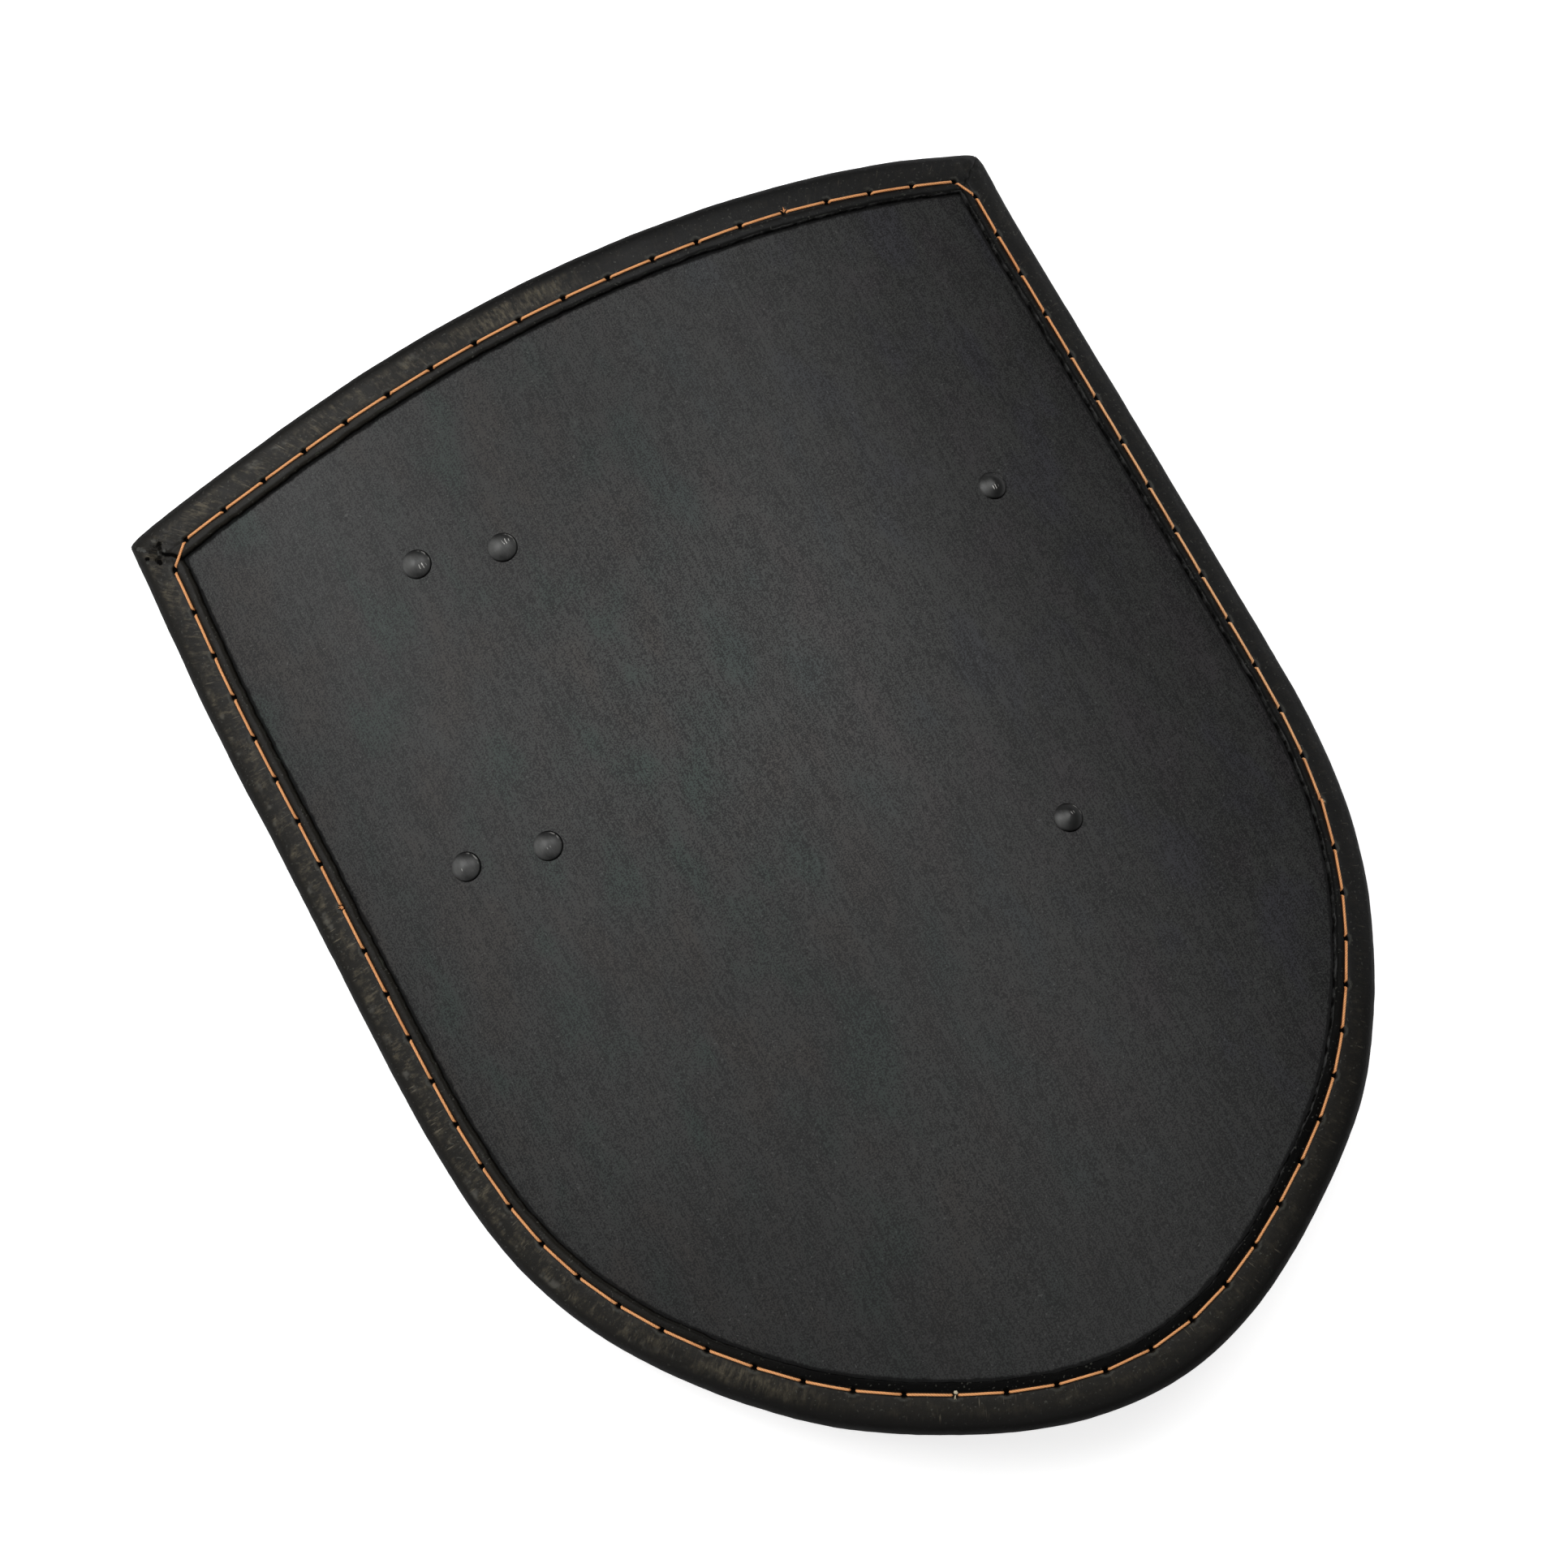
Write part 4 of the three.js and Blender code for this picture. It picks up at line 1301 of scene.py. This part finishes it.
def rivet_finish(colours, radius):
    """Black paint on a steel dome: short scratches down to the steel, a painted highlight across the
    middle, and painted shade round the rim and on the right-hand heads.
    """
    paint = Paint("rivet_paint")
    head = paint.parts(paint.attribute("head"))
    place = paint.place()
    away = (head * head + head.out("Y") * head.out("Y")) ** 0.5
    share_out = away / radius
    ripple = paint.noise(place, (420, 260, 400), 1)
    broken = paint.noise(place, (1300, 420, 900), 1, 0.5)
    hairs = paint.noise(place, (3400, 300, 900), 1, 0.5, math.radians(-9))
    grain = paint.noise(place, (900, 500, 700), 3, 0.6)
    streaks = paint.math("SINE", head * SCRATCH_WAVE + ripple * 6.0).rise(0.62, 0.95)
    worn = streaks * broken.rise(0.30, 0.45) * head.out("Z").rise(0.35, 0.75)
    aside = head.along(HEAD_RIGHT) / (away + 0.0001)
    polished = share_out.rise(0.80, 0.86) * share_out.fall(0.88, 0.93) * aside.rise(0.72, 0.95)
    polished = polished * broken.rise(0.40, 0.60)
    # left: towards the head's left side, where the painted highlight is stronger and the rim's painted
    # shade weaker
    left = (head.along(HEAD_LEFT) / (away + 0.0001)).rise(-0.1, 0.9)
    # rim: painted shade round the head's rim, less on the left; the blend below also takes the reflection
    # out there
    rim = share_out.rise(0.84, 0.97) * (1 - left * 0.9)
    where = paint.parts(place)
    far = where.rise(0.05, 0.12)
    right = where.rise(-0.05, 0.10)
    # level: a painted highlight band across the head, shifted and less bright on the right-hand heads
    level = abs(head.along(HEAD_TOP) / radius + far * 0.42 + 0.02).fall(0.22, 0.90) * (1 - far * 0.2)
    dulled = hairs.rise(0.45, 0.72) * 0.45 + grain.rise(0.4, 0.7) * 0.35
    level = level * (0.55 + left * 0.3) + (dulled - 0.3) * 0.35
    shade = paint.coated(
        colours.rivet_paint,
        (level, RIVET_HIGHLIGHT),
        # painted shade on the right-hand heads, away from their left side
        (right * (1 - left) * 0.85, RIVET_SHADE),
        (worn + polished * 0.5, colours.rivet_steel),
        (rim, RIVET_RIM_SHADE),
    )
    both = {"Base_Color": shade, "Normal": paint.bumped(hairs * 0.6 + grain * 0.4, 0.00006, 0.6)}
    painted = paint.shader(
        Metallic=worn * 0.4, Roughness=0.36 + grain * 0.14, Specular_IOR_Level=0.38, **both
    )
    # shaded_rim_surface: the dull surface of the rim's painted shade
    shaded_rim_surface = paint.shader(Roughness=0.9, Specular_IOR_Level=0.02, **both)
    return paint.surface(paint.blend(rim, painted, shaded_rim_surface))


def strap_finish(colours):
    """Dark brown strap leather with burnished edges."""
    paint = Paint("strap_leather")
    strap = paint.attribute("strap")
    place = paint.place()
    edge = abs(paint.parts(strap).out("Y")).rise(0.0165, 0.0188)
    grain = paint.noise(place, 800, 3, 0.6)
    pores = paint.noise(place, 300, 3, 0.6)
    wear = paint.noise(strap, (25, 60, 20), 3, 0.6)
    coats = (wear.rise(0.4, 0.75) * 0.5, STRAP_WORN), (edge, colours.strap_edge)
    shade = paint.coated(colours.strap, *coats)
    return paint.surface(paint.shader(
        Base_Color=shade,
        Roughness=0.55 + wear * 0.15 - edge * 0.15,
        Specular_IOR_Level=0.4,
        Normal=paint.bumped(grain * 0.4 + pores * 0.8, 0.00025, 0.8),
    ))


def floor_finish(stage):
    """A plain pale floor."""
    paint = Paint("floor")
    return paint.surface(paint.shader(
        Base_Color=solid(stage.floor),
        Roughness=0.9,
        Specular_IOR_Level=0.1,
        Emission_Color=solid(WHITE),
        Emission_Strength=stage.floor_glow,
    ))


def area_light(name, place, power):
    """A soft square light that faces the middle of the floor."""
    light = bpy.data.lights.new(name, "AREA")
    light.shape = "SQUARE"
    light.size = LAMP_SIZE
    light.energy = power
    lamp = bpy.data.objects.new(name, light)
    lamp.location = place
    lamp.rotation_euler = (-Vector(place)).to_track_quat("-Z", "Y").to_euler()
    bpy.context.scene.collection.objects.link(lamp)


class SHIELD_OT_board(bpy.types.Operator):
    """Makes the bent, painted board"""

    bl_idname = "shield.board"
    bl_label = "Board"

    def execute(self, context):
        pattern = Pattern(context.scene.shield_sizes)
        material = board_finish(context.scene.shield_colours)
        finished("bent_board", board_mesh(pattern), material, ["board"])
        return {"FINISHED"}


class SHIELD_OT_rim(bpy.types.Operator):
    """Makes the two strips of leather that are folded over the edge"""

    bl_idname = "shield.rim"
    bl_label = "Leather rim"

    def execute(self, context):
        pattern = Pattern(context.scene.shield_sizes)
        material = leather_finish(context.scene.shield_colours, corner_painted_marks(pattern))
        seam = Seam(pattern)
        split = pattern.size.top_stitches + 1
        strips = {
            "rim_top": (pattern.top_route, seam.holes[:split]),
            "rim_sides": (pattern.side_route, seam.holes[split:]),
        }
        for node, (route, holes) in strips.items():
            mesh = rim_mesh(pattern, Strip(pattern, route), seam, holes)
            finished(f"folded_{node}", mesh, material, [node])
        return {"FINISHED"}


class SHIELD_OT_thread(bpy.types.Operator):
    """Makes the four lengths of waxed thread"""

    bl_idname = "shield.thread"
    bl_label = "Waxed thread"

    def execute(self, context):
        pattern = Pattern(context.scene.shield_sizes)
        material = thread_finish(context.scene.shield_colours)
        seam = Seam(pattern)
        for node, (first, stitches) in pattern.thread_runs().items():
            mesh = thread_mesh(pattern, seam, KNOTS[node], first, stitches)
            finished(f"sewn_{node}", mesh, material, [node])
        return {"FINISHED"}


class SHIELD_OT_rivets(bpy.types.Operator):
    """Makes the six painted rivets"""

    bl_idname = "shield.rivets"
    bl_label = "Rivets"

    def execute(self, context):
        pattern = Pattern(context.scene.shield_sizes)
        material = rivet_finish(context.scene.shield_colours, pattern.size.head_diameter / 2)
        seed = 1.5
        for row_name, row in RIVET_ROWS.items():
            for place_name, (across, down) in row.items():
                node = f"rivet_{row_name}_{place_name}"
                mesh = rivet_mesh(pattern, across, down, seed, RIVET_RUBS[node])
                finished(f"domed_{node}", mesh, material, [node])
                seed += 2.9
        return {"FINISHED"}


class SHIELD_OT_straps(bpy.types.Operator):
    """Makes the two carrying straps behind the board"""

    bl_idname = "shield.straps"
    bl_label = "Straps"

    def execute(self, context):
        pattern = Pattern(context.scene.shield_sizes)
        material = strap_finish(context.scene.shield_colours)
        for row_name, row in RIVET_ROWS.items():
            node = f"strap_{row_name}"
            finished(f"cut_{node}", strap_mesh(pattern, row), material, [node])
        return {"FINISHED"}


class SHIELD_OT_stage(bpy.types.Operator):
    """Makes the floor, the soft lights and the camera"""

    bl_idname = "shield.stage"
    bl_label = "Stage"

    def execute(self, context):
        stage = context.scene.shield_stage
        bm = bmesh.new()
        bmesh.ops.create_grid(bm, x_segments=1, y_segments=1, size=FLOOR_HALF_WIDTH)
        mesh = bpy.data.meshes.new("floor")
        bm.to_mesh(mesh)
        bm.free()
        mesh.materials.append(floor_finish(stage))
        floor = bpy.data.objects.new("floor", mesh)
        context.scene.collection.objects.link(floor)
        for name, place in LAMPS.items():
            area_light(name, place, getattr(stage, f"{name}_power"))
        world = bpy.data.worlds.new("room")
        world.use_nodes = True
        sky = world.node_tree.nodes["Background"].inputs
        sky["Color"].default_value = solid(WHITE)
        sky["Strength"].default_value = stage.sky
        context.scene.world = world
        context.scene.view_settings.view_transform = "Standard"
        lens = bpy.data.cameras.new("camera")
        lens.lens = stage.lens
        lens.sensor_width = SENSOR_WIDTH
        camera = bpy.data.objects.new("camera", lens)
        camera.location = stage.camera_place
        camera.rotation_euler = stage.camera_turn
        context.scene.collection.objects.link(camera)
        context.scene.camera = camera
        return {"FINISHED"}


class SHIELD_PT_panel(bpy.types.Panel):
    """Lists the shield's pieces"""

    bl_label = "Heater shield"
    bl_idname = "SHIELD_PT_panel"
    bl_space_type = "VIEW_3D"
    bl_region_type = "UI"
    bl_category = "Shield"

    def draw(self, context):
        for operator in OPERATORS:
            self.layout.operator(operator.bl_idname)


GROUPS = {
    "shield_sizes": ShieldSizes,
    "shield_colours": ShieldColours,
    "shield_stage": ShieldStage,
}
OPERATORS = (
    SHIELD_OT_board,
    SHIELD_OT_rim,
    SHIELD_OT_thread,
    SHIELD_OT_rivets,
    SHIELD_OT_straps,
    SHIELD_OT_stage,
)


def register():
    """Adds the operators, the panel and the settings."""
    for made in (*GROUPS.values(), *OPERATORS, SHIELD_PT_panel):
        bpy.utils.register_class(made)
    for name, group in GROUPS.items():
        setattr(bpy.types.Scene, name, bpy.props.PointerProperty(type=group))


def unregister():
    """Takes them away again."""
    for name in GROUPS:
        delattr(bpy.types.Scene, name)
    for made in (SHIELD_PT_panel, *reversed(OPERATORS), *reversed(GROUPS.values())):
        bpy.utils.unregister_class(made)


def main():
    """Makes every piece and the stage."""
    register()
    bpy.ops.shield.board()
    bpy.ops.shield.rim()
    bpy.ops.shield.thread()
    bpy.ops.shield.rivets()
    bpy.ops.shield.straps()
    bpy.ops.shield.stage()


if __name__ == "__main__":
    main()
